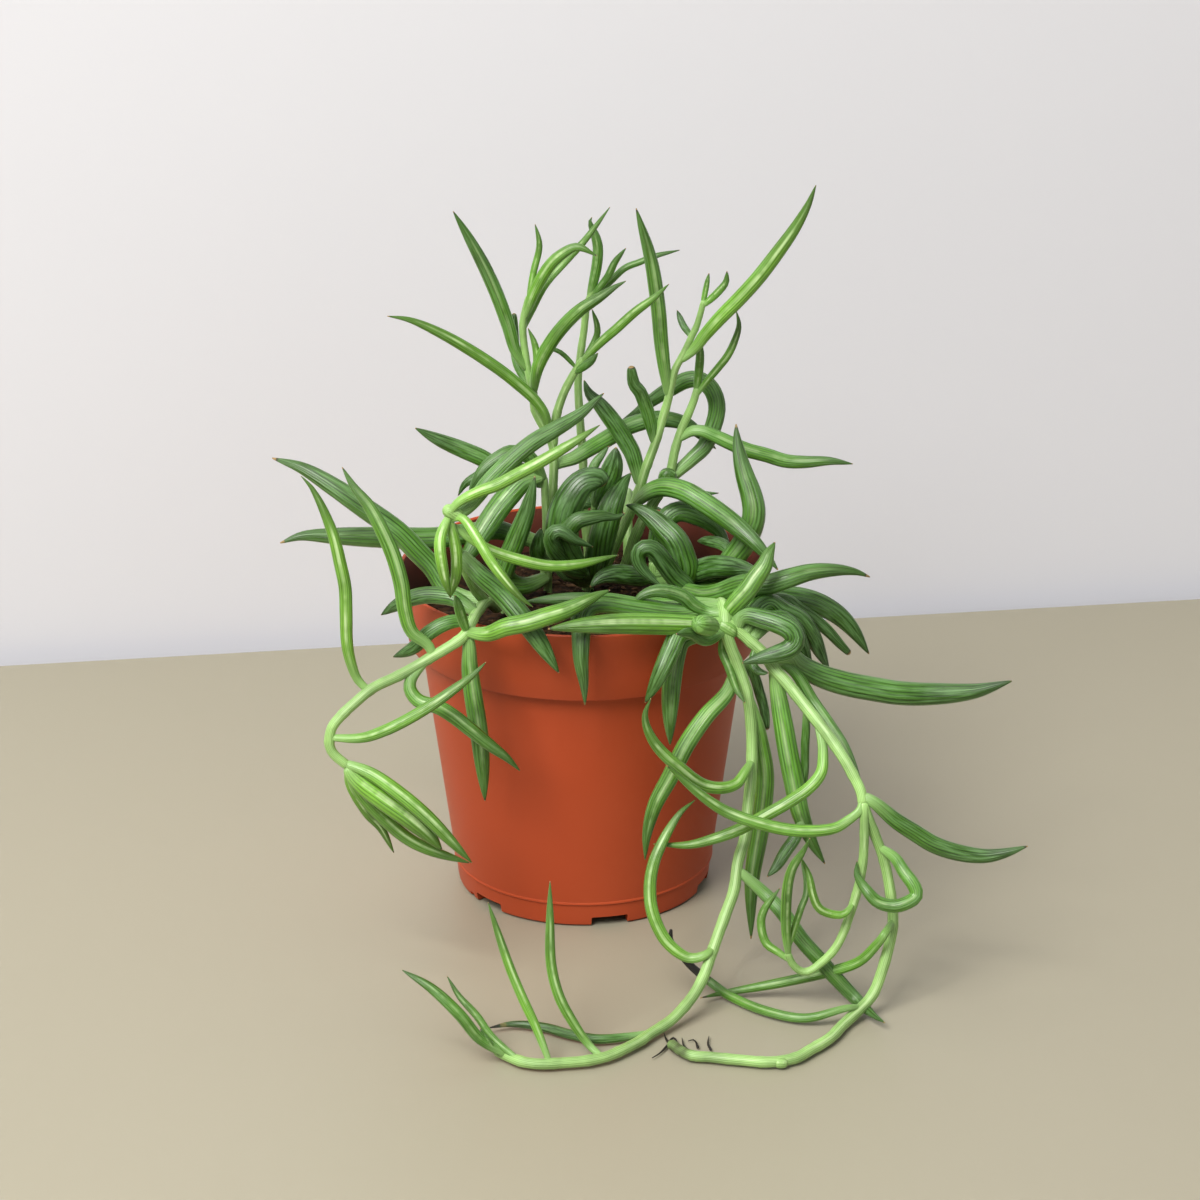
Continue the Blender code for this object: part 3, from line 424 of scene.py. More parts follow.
# Soil: damp, dark potting mix pressed into the pot to a finger's width under the rim, with crumbs
# and small bark chips lying loose on it.
soil_low, soil_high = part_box("soil")
soil_top = 82.0 * MM
soil_inset = pot_wall + 0.3 * MM
soil_edge = band_radius(soil_top) - soil_inset
step_height = band_foot + soil_inset
soil_centre = 1.2 * MM
soil_sag = 1.3 * MM
soil_rings = 52
soil_outline = [(soil_centre, soil_high[2])]
for i in range(1, soil_rings + 1):
    share = i / soil_rings
    soil_outline.append((soil_centre + (soil_edge - soil_centre) * share,
                         soil_high[2] - soil_sag * share ** 2))
soil_outline += [(band_radius(step_height) - soil_inset, step_height),
                 (body_top_radius - soil_inset, step_height - 0.9 * MM),
                 (foot_line_radius - soil_inset, foot_line),
                 (ground_radius - soil_inset, soil_low[2]),
                 (4 * MM, soil_low[2])]
soil = turned("potting_soil", soil_outline, 120)
top_points = soil.vertex_groups.new(name="top")
top_points.add([v.index for v in soil.data.vertices
                if v.co.z > soil_top - 1.2 * MM and v.co.xy.length < soil_edge - 0.8 * MM],
               1.0, "REPLACE")
for name, size, strength in (("soil_lumps", 7 * MM, 2.6 * MM),
                             ("soil_grains", 1.6 * MM, 1.3 * MM)):
    pattern = bpy.data.textures.new(name, "CLOUDS")
    pattern.noise_scale = size
    pattern.noise_depth = 3
    lumps = soil.modifiers.new(name, "DISPLACE")
    lumps.texture = pattern
    lumps.texture_coords = "LOCAL"
    lumps.direction = "Z"
    lumps.mid_level = 0.55
    lumps.strength = strength
    lumps.vertex_group = "top"
apply_all(soil)
pick_only(soil)
bpy.ops.object.shade_smooth()

soil_mix, tree, sockets = new_material("soil_mix", 0.9, 0.12)
dust, grain = dusting(tree, 420.0, 1.0)
tree.links.new(colour_ramp(tree, dust, ((0, (0.014, 0.007, 0.003)), (1, (0.075, 0.034, 0.013)))),
               sockets["Base Color"])
tree.links.new(bump(tree, grain, 0.8, 0.6 * MM), sockets["Normal"])
soil.data.materials.append(soil_mix)
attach(soil, "root")
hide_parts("soil")

# The loose crumbs: one lumpy grain, copied all over the mound, every ninth of them
# drawn out to a chip.
crumb_count = 900
crumb_reach = 46.5 * MM
draw = random.Random(7)
bpy.ops.object.select_all(action="DESELECT")
bpy.ops.mesh.primitive_ico_sphere_add(subdivisions=2, radius=1)
crumb = bpy.context.object
for corner in crumb.data.vertices:
    corner.co *= 0.75 + 0.5 * draw.random()
crumb_shape = crumb.data
bpy.data.objects.remove(crumb, do_unlink=True)
heap = bmesh.new()
for i in range(crumb_count):
    reach = crumb_reach * math.sqrt(draw.random())
    turn = 2 * math.pi * draw.random()
    size = (0.35 + 0.9 * draw.random() ** 2) * MM
    stretch = (1, 0.5, 0.35) if i % 9 else (2.6, 0.8, 0.3)
    place = Matrix.Translation((reach * math.cos(turn), reach * math.sin(turn),
                                soil_high[2] - soil_sag * (reach / soil_edge) ** 2
                                + size * (0.1 + 0.2 * draw.random())))
    spin = Matrix.Rotation(2 * math.pi * draw.random(), 4, "Z")
    spin @= Matrix.Rotation(0.6 * draw.random(), 4, "X")
    form = Matrix.Diagonal((*[size * s for s in stretch], 1))
    before = len(heap.verts)
    heap.from_mesh(crumb_shape)
    heap.verts.ensure_lookup_table()
    for corner in heap.verts[before:]:
        corner.co = place @ spin @ form @ corner.co
crumb_mesh = bpy.data.meshes.new("soil_crumbs")
heap.to_mesh(crumb_mesh)
heap.free()
crumbs = bpy.data.objects.new("soil_crumbs", crumb_mesh)
bpy.context.scene.collection.objects.link(crumbs)
bark_chips, tree, sockets = new_material("bark_chips", 0.85, 0.15)
dust, grain = dusting(tree, 150.0, 1.0)
tree.links.new(colour_ramp(tree, dust, ((0, (0.018, 0.010, 0.006)), (1, (0.16, 0.085, 0.04)))),
               sockets["Base Color"])
crumbs.data.materials.append(bark_chips)
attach(crumbs, "root")


# Leaf and stem skin, shared by all growth: fleshy and satin, with fine lengthwise lines, a clear
# pale window line on young leaves, a grey bloom on old ones and a dry tan tip. Painted light too:
# a pale painted rim light along the leaves' sides as seen from the front, and on stems a pale
# painted highlight streak down the side that looks forwards and up.
lines_group, lines_in, lines_out = new_group(
    "growth_lines", {"Fineness": 4.0},
    ("Lines", "Window", "Edge", "Bloom", "Mottle", "Along", "Tone", "Dry"))


def group_math(operation, first, second, third=None):
    """A maths node in the lines group; sockets are linked, numbers are set."""
    node = lines_group.nodes.new("ShaderNodeMath")
    node.operation = operation
    for place, value in enumerate((first, second, third)):
        if isinstance(value, (int, float)):
            node.inputs[place].default_value = value
        elif value is not None:
            lines_group.links.new(value, node.inputs[place])
    return node.outputs[0]


def group_ramp(value, start, end, low=0.0, high=1.0):
    """A smooth rise in the lines group."""
    return rise(lines_group, value, start, end, low, high, "SMOOTHSTEP")


def group_noise(vector, scale, detail):
    """Cloudy noise in the lines group."""
    node = add_node(lines_group, "ShaderNodeTexNoise",
                    values={"Scale": scale, "Detail": detail, "Roughness": 0.6},
                    links={"Vector": vector})
    return node.outputs["Fac"]


# Every point of a leaf knows its place: "lie" holds the cosine and sine of its angle
# round the leaf and its share of the length, "tone" how young it is and "dry" how
# far it has dried.
lie = add_node(lines_group, "ShaderNodeAttribute", {"attribute_name": "lie"})
tone = add_node(lines_group, "ShaderNodeAttribute", {"attribute_name": "tone"}).outputs["Fac"]
dry = add_node(lines_group, "ShaderNodeAttribute", {"attribute_name": "dry"}).outputs["Fac"]
split = add_node(lines_group, "ShaderNodeSeparateXYZ", links={"Vector": lie.outputs["Vector"]})
facing, beside, along = [split.outputs[axis] for axis in "XYZ"]
shift = group_math("MULTIPLY", tone, 91.0)


def skin_place(across, lengthwise):
    """A place for noise: round the leaf, along it and, by its tone, apart from others."""
    return add_node(lines_group, "ShaderNodeCombineXYZ", links={
        "X": group_math("MULTIPLY", facing, across), "Y": group_math("MULTIPLY", beside, across),
        "Z": group_math("MULTIPLY_ADD", along, lengthwise, shift)}).outputs["Vector"]


streak_place = skin_place(lines_in.outputs["Fineness"], 1.8)
wander = group_noise(streak_place, 1.0, 1.0)
ridges = group_math("SINE", group_math("MULTIPLY_ADD", beside, 21.0,
                                       group_math("MULTIPLY", wander, 4.5)), 0.0)
line_depth = group_ramp(group_noise(streak_place, 2.2, 1.0), 0.62, 0.42, 0.45)
streaks = group_math("SUBTRACT", 1.0, group_math(
    "MULTIPLY", group_ramp(ridges, 0.1, -0.7), line_depth))
# A pale line down the side that looks forwards and up: the window line on leaves, a painted
# highlight streak on stems.
window = group_math("MULTIPLY", group_ramp(facing, 0.93, 0.99),
                    group_math("MULTIPLY", group_ramp(along, 0.05, 0.25),
                               group_ramp(along, 0.95, 0.7)))
broken = add_node(lines_group, "ShaderNodeCombineXYZ",
                  links={"X": group_math("MULTIPLY", along, 7.0), "Y": shift})
window = group_math("MULTIPLY", window, group_ramp(
    group_noise(broken.outputs["Vector"], 1.0, 2.0), 0.35, 0.6, 0.1))
# The leaves' sides as seen from the front and above, which get a pale painted rim light.
edge = group_ramp(group_math("ABSOLUTE", beside, 0.0), 0.955, 0.995)
bloom = group_ramp(group_noise(skin_place(2.5, 5.0), 1.3, 4.0), 0.38, 0.70)
place = add_node(lines_group, "ShaderNodeTexCoord").outputs["Object"]
mottle = group_noise(place, 75.0, 3.0)
for source, socket in zip((streaks, window, edge, bloom, mottle, along, tone, dry),
                          lines_out.inputs):
    lines_group.links.new(source, socket)

bloom_green = (0.23, 0.45, 0.16)
root_green = (0.31, 0.51, 0.17)
pale_rim_light_green = (0.33, 0.54, 0.20)
window_and_highlight_green = (0.60, 0.79, 0.38)
dried_stops = ((0.40, (0.040, 0.042, 0.016)), (0.44, (0.36, 0.23, 0.08)),
               (0.54, (0.30, 0.20, 0.07)), (0.62, (0.020, 0.030, 0.012)),
               (1.0, (0.014, 0.010, 0.008)))


def growth_skin(name, colours, deepness, bloominess, windows, roughness):
    """Living skin by tone: lined, windowed, bloomed, with a painted rim light on leaves and a
    painted highlight streak on stems, and dried where it has died.

    The colours are those of old, grown and young skin; windows marks leaves.
    """
    material, tree, sockets = new_material(name, roughness, 0.55)
    out = add_node(tree, "ShaderNodeGroup", {"node_tree": lines_group}, {"Fineness": 4.0}).outputs

    def maths(operation, values, links):
        """A maths node with set and linked inputs."""
        return add_node(tree, "ShaderNodeMath", {"operation": operation}, values,
                        links).outputs[0]

    def strength(value, start, end):
        """The value scaled by tone, from start on old growth to end on young."""
        return maths("MULTIPLY", None, {0: value, 1: rise(tree, out["Tone"], 0, 1, start, end)})

    body = colour_ramp(tree, out["Tone"], zip((0.0, 0.5, 1.0), colours))
    mottled = add_node(tree, "ShaderNodeHueSaturation", links={
        "Color": body, "Value": rise(tree, out["Mottle"], 0.3, 0.7, 0.68, 1.3)}).outputs["Color"]
    deep = add_node(tree, "ShaderNodeHueSaturation",
                    values={"Value": 1 - deepness, "Saturation": 1.2},
                    links={"Color": mottled}).outputs["Color"]
    furrow = maths("SUBTRACT", {0: 1.0}, {1: out["Lines"]})
    skin = mix_colour(tree, strength(furrow, 1.0, 0.6), mottled, deep)
    if windows:
        skin = mix_colour(tree, rise(tree, out["Along"], 0.3, 0.95, 0.0, 0.75), skin, deep)
    skin = mix_colour(tree, strength(out["Bloom"], bloominess, 0.12), skin, bloom_green)
    if windows:
        skin = mix_colour(tree, rise(tree, out["Along"], 0.02, 0.20, 0.7, 0.0), skin, root_green)
        # Painted rim light: the leaves' sides are made paler, as if lit through.
        skin = mix_colour(tree, strength(out["Edge"], 0.8, 0.4), skin, pale_rim_light_green)
    # On leaves this pale line is the window; on stems it is a painted highlight streak.
    streak_start, streak_end = (-0.35, 0.95) if windows else (0.1, 0.75)
    skin = mix_colour(tree, strength(out["Window"], streak_start, streak_end), skin,
                      window_and_highlight_green)
    patchy = maths("MULTIPLY_ADD", {1: 1.2}, {0: out["Mottle"], 2: out["Dry"]})
    skin = mix_colour(tree, rise(tree, patchy, 0.85, 1.05), skin,
                      colour_ramp(tree, out["Dry"], dried_stops))
    tree.links.new(skin, sockets["Base Color"])
    tree.links.new(rise(tree, out["Bloom"], 0, 1, roughness - 0.05, roughness + 0.14),
                   sockets["Roughness"])
    tree.links.new(bump(tree, out["Lines"], 0.45, 0.3 * MM), sockets["Normal"])
    return material


leaf_skin = growth_skin("leaf_skin", ((0.038, 0.114, 0.012), (0.100, 0.272, 0.022),
                                      (0.225, 0.490, 0.048)), 0.80, 0.45, True, 0.36)
stem_skin = growth_skin("stem_skin", ((0.11, 0.26, 0.045), (0.21, 0.41, 0.085),
                                      (0.40, 0.62, 0.22)), 0.52, 0.2, False, 0.40)

leaf_sides = 14
full_at = 0.42
root_width = 0.55
tip_width = 0.06
ring_step = 1.3 * MM
root_reach = 9.0 * MM
root_depth = 12.0 * MM
soil_mound = 1.0 * MM
node_step = 9.0 * MM
collar = 2.5 * MM
leaf_flatness = 0.84
leaf_groove = 0.10
leaf_thinnest = 0.12 * MM
tip_dry_from, tip_dry_over = 0.97, 0.015
groove_from = 0.86
window_sway = 0.35
stem_fit = 0.97
node_swell = 0.08
leaf_room = 1.15


def seen(column, row, near, lift=0.0):
    """The point at a picture position, near mm before the axis, lift m or more up."""
    ray = sight(column, row)
    point = view_eye + ray * ((-near * MM - view_eye.y) / ray.y)
    if point.z < lift:
        point = view_eye + ray * ((lift - view_eye.z) / ray.z)
    return point


def pixel_size(point):
    """Metres across one picture column at a point."""
    return (point - view_eye).dot(forward) / view_focal


def spread(values, share):
    """A value from an evenly spaced list, share of the way along it."""
    place = share * (len(values) - 1)
    first = min(int(place), len(values) - 2)
    part = place - first
    return values[first] * (1 - part) + values[first + 1] * part


def shares(points):
    """How far along the path each point lies, from 0 to 1."""
    lengths = [0.0]
    for before, after in zip(points, points[1:]):
        lengths.append(lengths[-1] + (Vector(after) - Vector(before)).length)
    return [length / lengths[-1] for length in lengths]


def smooth_path(points, fine=8):
    """A smooth curve through the points: one cubic arc between each two."""
    path = [points[0]]
    last = len(points) - 1
    for i in range(last):
        start, end = points[i], points[i + 1]
        before = points[max(i - 1, 0)]
        after = points[min(i + 2, last)]
        reach = (end - start).length / 3
        lead = (end - before).normalized() * reach
        tail = (after - start).normalized() * reach
        arc = interpolate_bezier(start, start + lead, end - tail, end, fine + 1)
        path.extend(arc[1:])
    return path


def even_path(path, step, round_start, round_end):
    """Evenly spaced points on the path and their distances along it.

    Some are added near both ends, where the tube is rounded off.
    """
    lengths = [0.0]
    for before, after in zip(path, path[1:]):
        lengths.append(lengths[-1] + (after - before).length)
    total = lengths[-1]
    count = max(8, round(total / step))
    goals = {total * k / count for k in range(count + 1)}
    for part in (0.06, 0.25, 0.6):
        goals.add(round_start * part)
        goals.add(total - round_end * part)
    places, at = [], 0
    for goal in sorted(goals):
        while at < len(path) - 2 and lengths[at + 1] < goal:
            at += 1
        part = (goal - lengths[at]) / max(lengths[at + 1] - lengths[at], 1e-9)
        places.append(path[at].lerp(path[at + 1], min(max(part, 0.0), 1.0)))
    return places, sorted(goals), total


def rounding(distance, radius):
    """How far a rounded end has opened, at a distance from it."""
    away = 1 - min(max(distance, 0.0) / radius, 1.0)
    return math.sqrt(max(1 - away * away, 0.0))


def leaf_width(share, tip):
    """Spindle outline: narrow at the root, full before the middle, pointed."""
    if share < full_at:
        away = (full_at - share) / full_at
        return 1 - (1 - root_width) * away ** 2.2
    away = (share - full_at) / (1 - full_at)
    return 1 - (1 - tip) * away ** 3.2


def alive(share):
    """Not dried anywhere."""
    return 0.0


class Growth:
    """One leafy stem: bevelled curves made into meshes, then joined in one piece."""

    def __init__(self, piece, node):
        self.piece = piece
        self.node = node
        self.parts = []
        self.lines = []
        self.draw = random.Random(node)

    def tube(self, path, width_at, tone, dry, skin, window_turn=0.0, flat=1.0, groove=0.0):
        """A closed, round-ended tube along a path, with its points told where they lie.

        width_at and dry give the radius and the dryness for a share of the length.
        """
        places, distances, total = even_path(path, ring_step, width_at(0.0), width_at(1.0))
        along = [distance / total for distance in distances]
        radii = [width_at(share) * rounding(distance, width_at(0.0))
                 * rounding(total - distance, width_at(1.0))
                 for share, distance in zip(along, distances)]
        for place, radius in zip(places, radii):
            place.z = max(place.z, radius * flat)
        curve = bpy.data.curves.new("growth_part", "CURVE")
        curve.dimensions = "3D"
        curve.bevel_depth = 1.0
        curve.bevel_resolution = leaf_sides // 2 - 2
        spline = curve.splines.new("POLY")
        spline.points.add(len(places) - 1)
        for point, place, radius in zip(spline.points, places, radii):
            point.co = (*place, 1)
            point.radius = max(radius, 1e-6)
        obj = bpy.data.objects.new("growth_part", curve)
        bpy.context.scene.collection.objects.link(obj)
        pick_only(obj)
        bpy.ops.object.convert(target="MESH")
        obj = bpy.context.object
        mesh = obj.data
        # Windows, the stems' painted highlight streak and grooves look forwards and up, or
        # straight up on leaves that point there; the painted rim light lies on the sides at right
        # angles to them.
        look = Matrix.Rotation(window_turn, 3, "Z") @ Vector((0, -0.8, 0.6))
        lies, dries, corners = [], [], []
        for ring, middle in enumerate(places):
            ahead = places[min(ring + 1, len(places) - 1)] - places[max(ring - 1, 0)]
            ahead.normalize()
            window = look - ahead * look.dot(ahead)
            if window.length < 0.2:
                window = Vector((0, 0, 1)) - ahead * ahead.z
            window.normalize()
            side = ahead.cross(window)
            for corner in mesh.vertices[ring * leaf_sides:(ring + 1) * leaf_sides]:
                out = corner.co - middle
                length = max(out.length, 1e-9)
                facing, beside = out.dot(window) / length, out.dot(side) / length
                press = 1 - groove * max(0.0, facing - groove_from) / (1 - groove_from)
                if 0 < ring < len(places) - 1:
                    corners.extend(middle + (window * (facing * flat * press)
                                             + side * beside) * length)
                else:
                    corners.extend(middle)
                lies.extend((facing, beside, along[ring]))
                dries.append(dry(along[ring]))
        mesh.vertices.foreach_set("co", corners)
        for name, kind, key, values in (
                ("lie", "FLOAT_VECTOR", "vector", lies), ("dry", "FLOAT", "value", dries),
                ("tone", "FLOAT", "value", [tone] * len(dries))):
            mesh.attributes.new(name, kind, "POINT")
            mesh.attributes[name].data.foreach_set(key, values)
        mesh.materials.append(leaf_skin)
        mesh.materials.append(stem_skin)
        mesh.polygons.foreach_set("material_index", [skin] * len(mesh.polygons))
        self.parts.append(obj)

    def view_path(self, points, near, wide):
        """Picture positions as a path: columns and rows by turns, or each in a tuple.

        Where a tuple holds a third number, that is its own distance from the axis.
        """
        if not isinstance(points[0], tuple):
            points = list(zip(points[::2], points[1::2]))
        flat = [Vector(point[:2]) for point in points]
        along = shares(flat)
        first = seen(points[0][0], points[0][1], near[0])
        lift = wide * pixel_size(first) / 2
        path = []
        for point, share in zip(points, along):
            depth = point[2] if len(point) == 3 else spread(near, share)
            path.append(seen(point[0], point[1], depth, lift))
        return path

    def sink(self, root):
        """The nearest place on a stem's middle line, if there is one near by."""
        places = [place for line in self.lines for place in line]
        if not places:
            return root
        nearest = min(places, key=lambda place: (place - root).length)
        return nearest.copy() if (nearest - root).length < root_reach else root

    def stem(self, points, near, wide, tone=0.8, rooted=False, dry=alive):
        """A stem along picture positions; wide holds its widths in columns."""
        path = self.view_path(points, near, max(wide))
        scale = pixel_size(path[0]) / 2
        if rooted:
            base = path[0]
            low = [Vector((base.x, base.y, soil_top + z))
                   for z in (-root_depth, -root_depth / 2, soil_mound + collar)]
            path = low + path[1:]
        else:
            path[0] = self.sink(path[0])
        smooth = smooth_path(path)
        self.lines.append(smooth)
        self.shape_stem(smooth, lambda share: spread(wide, share) * scale * stem_fit, tone, dry)

    def shape_stem(self, path, width_at, tone, dry=alive):
        """A round stem with a slight swelling at every node."""
        length = sum((after - before).length for before, after in zip(path, path[1:]))
        nodes = max(1, round(length / node_step))
        self.tube(path, lambda share: width_at(share)
                  * (stem_fit + node_swell
                     * max(0.0, math.cos(2 * math.pi * nodes * share)) ** 6),
                  tone, dry, 1)

    def knob(self, points, near, wide, tone=0.75):
        """A swollen node where several leaves leave the stem."""
        path = smooth_path(self.view_path(points, near, wide))
        radius = wide * pixel_size(path[0]) / 2
        self.tube(path, lambda share: radius * (0.8 + 0.2 * math.sin(math.pi * share)),
                  tone, alive, 1)

    def root(self, points, near, wide):
        """A thin dried root."""
        path = smooth_path(self.view_path(points, near, wide))
        radius = wide * pixel_size(path[0]) / 2
        self.tube(path, lambda share: radius * (1 - 0.7 * share), 0.2,
                  lambda share: 1.0, 0)

    def leaf(self, points, near, wide, tone, tip=tip_width, dry=None):
        """A leaf from its root to its tip; wide is its full width in columns."""
        path = self.view_path(points, near, wide * leaf_room)
        path[0] = self.sink(path[0])
        path = smooth_path(path)
        self.shape_leaf(path, wide * pixel_size(path[0]) / 2, tone, tip, dry)

    def shape_leaf(self, path, radius, tone, tip=tip_width, dry=None):
        """A flattened, grooved leaf, dried at its tip unless dry says otherwise."""
        dried = dry or (lambda share: 0.5 * min(
            1.0, max(0.0, share - tip_dry_from) / tip_dry_over))
        turn = self.draw.uniform(-window_sway, window_sway)
        self.tube(path, lambda share: max(radius * leaf_width(share, tip), leaf_thinnest),
                  tone + self.draw.uniform(-0.05, 0.05), dried, 0, turn, leaf_flatness,
                  leaf_groove)

    def finish(self):
        """Joins the parts and puts the piece in its node's place."""
        bpy.ops.object.select_all(action="DESELECT")
        for part in self.parts:
            part.select_set(True)
        bpy.context.view_layer.objects.active = self.parts[0]
        bpy.ops.object.join()
        piece = bpy.context.object
        bpy.ops.object.mode_set(mode="EDIT")
        bpy.ops.mesh.select_all(action="SELECT")
        bpy.ops.mesh.remove_doubles(threshold=1e-8)
        bpy.ops.mesh.normals_make_consistent(inside=False)
        bpy.ops.object.mode_set(mode="OBJECT")
        piece.name = self.piece
        bpy.ops.object.shade_smooth_by_angle(angle=math.radians(70))
        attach(piece, "root")
        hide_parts(self.node)


# Tall stem on the left: a pale fleshy shoot, rooted in the mix, that forks near its
# top.  Slender young leaves grow out to both sides and an older one arches right
# behind it.  From here on, s is the stem in hand.
s = Growth("tall_left_growth", "stem_tall_left")
s.stem([545, 585, 546, 553, 549, 524, 553, 486, 553, 447, 545, 430, 535, 410, 533, 390, 528, 370,
        524, 345, 523, 322, 529, 296], (-27, -20, -17, -14, -12, -10), (10, 10, 9, 7), rooted=True)
s.stem([553, 447, 556, 418, 563, 395, 573, 375, 584, 358], (-17, -14, -11), (10, 8))
s.leaf([528, 372, 516, 352, 508, 325, 497, 295, 485, 268, 470, 240, 453, 211], (-12, -9, -8), 14,
        0.45)
s.leaf([551, 440, 545, 415, 535, 400, 520, 386, 500, 370, 470, 350, 440, 333, 410, 320, 387, 316],
        (-14, -8, -3, 0), 12, 0.75)
s.leaf([528, 300, 534, 270, 539, 250, 539, 240, 535, 224], (-10, -11), 7, 0.7)
s.leaf([526, 318, 535, 290, 550, 265, 565, 252, 578, 247, 597, 256], (-11, -7, -4), 12, 0.7)
s.leaf([525, 330, 530, 315, 545, 285, 565, 262, 585, 240, 610, 207], (-12, -16, -16), 8, 0.65)
s.leaf([533, 390, 537, 362, 535, 345, 528, 328], (-12, -7, -8), 8, 0.75)
s.leaf([532, 388, 520, 370, 515, 350, 514, 313], (-13, -18, -20), 10, 0.35, 0.5)
s.leaf([534, 395, 537, 370, 545, 352, 560, 330, 580, 310, 600, 297, 615, 287, 626, 281],
        (-12, -5, 0, 2), 14, 0.7)
s.leaf([582, 362, 600, 343, 615, 330, 635, 312, 655, 297, 669, 284], (-11, -6, -3, 0), 10, 0.75)
s.leaf([575, 375, 590, 362, 598, 353], (-11, -6), 9, 0.35)
s.leaf([576, 368, 560, 352, 543, 347], (-12, -10), 5, 0.4)
s.leaf([552, 466, 560, 463, 574, 458, 589, 449, 608, 438, 627, 427, 641, 422, 656, 419, 673, 420,
        688, 425, 703, 437, 716, 449], (-18, -22, -28, -30, -31, -33), 18, 0.4)
s.finish()


# Tall stem in the middle: the thin, rooted shoot at the back, with a tuft of small
# fleshy leaves at its end.
s = Growth("tall_middle_growth", "stem_tall_middle")
s.stem([588, 575, 583, 500, 583, 460, 580, 420, 578, 380, 580, 358, 584, 330, 587, 305, 594, 288],
        (-36, -34, -32, -31), (9, 9, 7), rooted=True)
s.leaf([592, 300, 596, 270, 598, 250, 596, 238, 590, 222, 592, 217], (-31, -31), 11, 0.55)
s.leaf([592, 302, 607, 278, 615, 262, 626, 248], (-31, -27), 8, 0.45)
s.leaf([591, 303, 600, 292, 612, 280, 625, 268, 640, 262, 655, 256, 680, 250], (-31, -34), 7, 0.45)
s.leaf([579, 366, 590, 350, 597, 335, 597, 325, 592, 309], (-31, -27), 7, 0.6)
s.finish()


# Tall stem on the right: the longest pale shoot, rooted in the mix and leaning right,
# with two straight leaves pointing up and broad older leaves arching from its lower
# half.
s = Growth("tall_right_growth", "stem_tall_right")
s.stem([597, 590, 607, 563, 616, 543, 627, 519, 636, 500, 645, 471, 655, 444, 664, 414, 668, 400,
        675, 370, 683, 355, 690, 340, 697, 325, 704, 300], (-23, -21, -17, -14, -12),
        (11, 11, 9, 6), rooted=True)
s.leaf([668, 398, 664, 365, 661, 340, 659, 315, 656, 290, 652, 265, 647, 245, 641, 225, 636, 208],
        (-14, -13, -12), 15, 0.6)
s.leaf([683, 362, 695, 348, 705, 335, 720, 318, 738, 300, 758, 278, 778, 252, 795, 228, 808, 205,
        816, 185], (-14, -8, -4, -2), 15, 0.8)
s.leaf([694, 340, 690, 335, 683, 325, 677, 310], (-13, -18), 7, 0.15)
s.leaf([702, 306, 706, 288, 709, 273], (-12, -13), 6, 0.6)
s.leaf([703, 306, 712, 298, 720, 290, 726, 282, 727, 271], (-12, -10), 8, 0.6)
s.leaf([656, 444, 651, 424, 646, 407, 640, 392, 634, 384, 631, 366], (-17, -13), 14, 0.3, 0.55)
s.leaf([638, 503, 650, 491, 665, 487, 684, 491, 703, 502, 722, 515, 740, 529, 755, 543, 767, 556,
        778, 570], (-20, -8, 0, 10, 15), 21, 0.4)
s.leaf([641, 486, 633, 455, 625, 440, 614, 423, 601, 406, 589, 393, 584, 380],
        (-19, -21, -22, -24), 18, 0.25)
s.finish()


# Leaning stem on the right: rooted, thick and pale below, with a long level leaf and
# one hooked leaf that arches back behind the others.
s = Growth("right_growth", "stem_right")
s.stem([625, 590, 628, 560, 634, 540, 643, 520, 652, 505, 662, 490, 670, 473, 675, 450, 682, 428,
        688, 415, 694, 400, 698, 386], (-23, -20, -20, -20), (14, 12, 10, 8), rooted=True)
s.leaf([697, 394, 699, 370, 700, 350, 697, 335], (-20, -18), 9, 0.6)
s.leaf([698, 397, 708, 380, 718, 368, 728, 355, 735, 340, 739, 325, 736, 310], (-20, -16, -16), 8,
        0.6)
s.leaf([681, 440, 692, 431, 702, 431, 715, 436, 728, 442, 747, 450, 766, 455, 786, 461, 805, 462,
        830, 461, 853, 464], (-20, -17, -16, -14), 15, 0.45)
s.leaf([670, 482, 684, 466, 694, 457, 704, 447, 712, 430, 717, 408, 712, 390, 700, 380, 687, 380,
        673, 387, 651, 401, 637, 412, 620, 422], (-20, -24, -28, -33, -38), 18, 0.3)
s.leaf([664, 488, 667, 480, 668, 470], (-20, -16), 19, 0.45, 0.6, alive)
s.finish()


# Drooping stem at the front left: soft enough to climb from the mix over the rim and
# hang down to a tuft of young leaves, with a side shoot standing out towards the
# viewer.
s = Growth("front_left_growth", "stem_front_left")
s.stem([(505, 625, 5), (497, 608, 14), (487, 602, 28), (479, 610, 41), (472, 621, 50),
        (467, 632, 54), (458, 641, 56), (430, 658, 58), (400, 675), (373, 688), (357, 701),
        (341, 716), (331, 730), (331, 750), (349, 767)], (5, 40, 54, 60, 66, 70, 72),
        (11, 11, 11, 11, 10), rooted=True)
s.stem([488, 604, 477, 592, 468, 576, 460, 555, 452, 530, 448, 514], (30, 46, 58), (11, 9))
s.leaf([368, 690, 358, 680, 351, 663, 347, 643, 346, 611, 345, 587, 340, 563, 334, 538, 323, 509,
        311, 487, 301, 476], (64, 66, 64, 60), 13, 0.85)
s.leaf([432, 656, 428, 645, 412, 632, 405, 611, 401, 583, 393, 555, 382, 530, 369, 506, 354, 487,
        342, 467], (57, 58, 54, 48), 16, 0.6)
s.leaf([468, 634, 487, 634, 506, 627, 526, 623, 545, 617, 564, 611, 580, 604, 598, 595, 610, 590],
        (54, 62, 62, 58, 54), 19, 0.85)
s.leaf([468, 634, 469, 645, 470, 671, 474, 701, 479, 732, 482, 762, 485, 801], (54, 58, 58), 19,
        0.5)
s.leaf([333, 738, 361, 738, 386, 730, 410, 718, 433, 704, 453, 690, 473, 675, 486, 662],
        (70, 74, 72, 68), 12, 0.8)
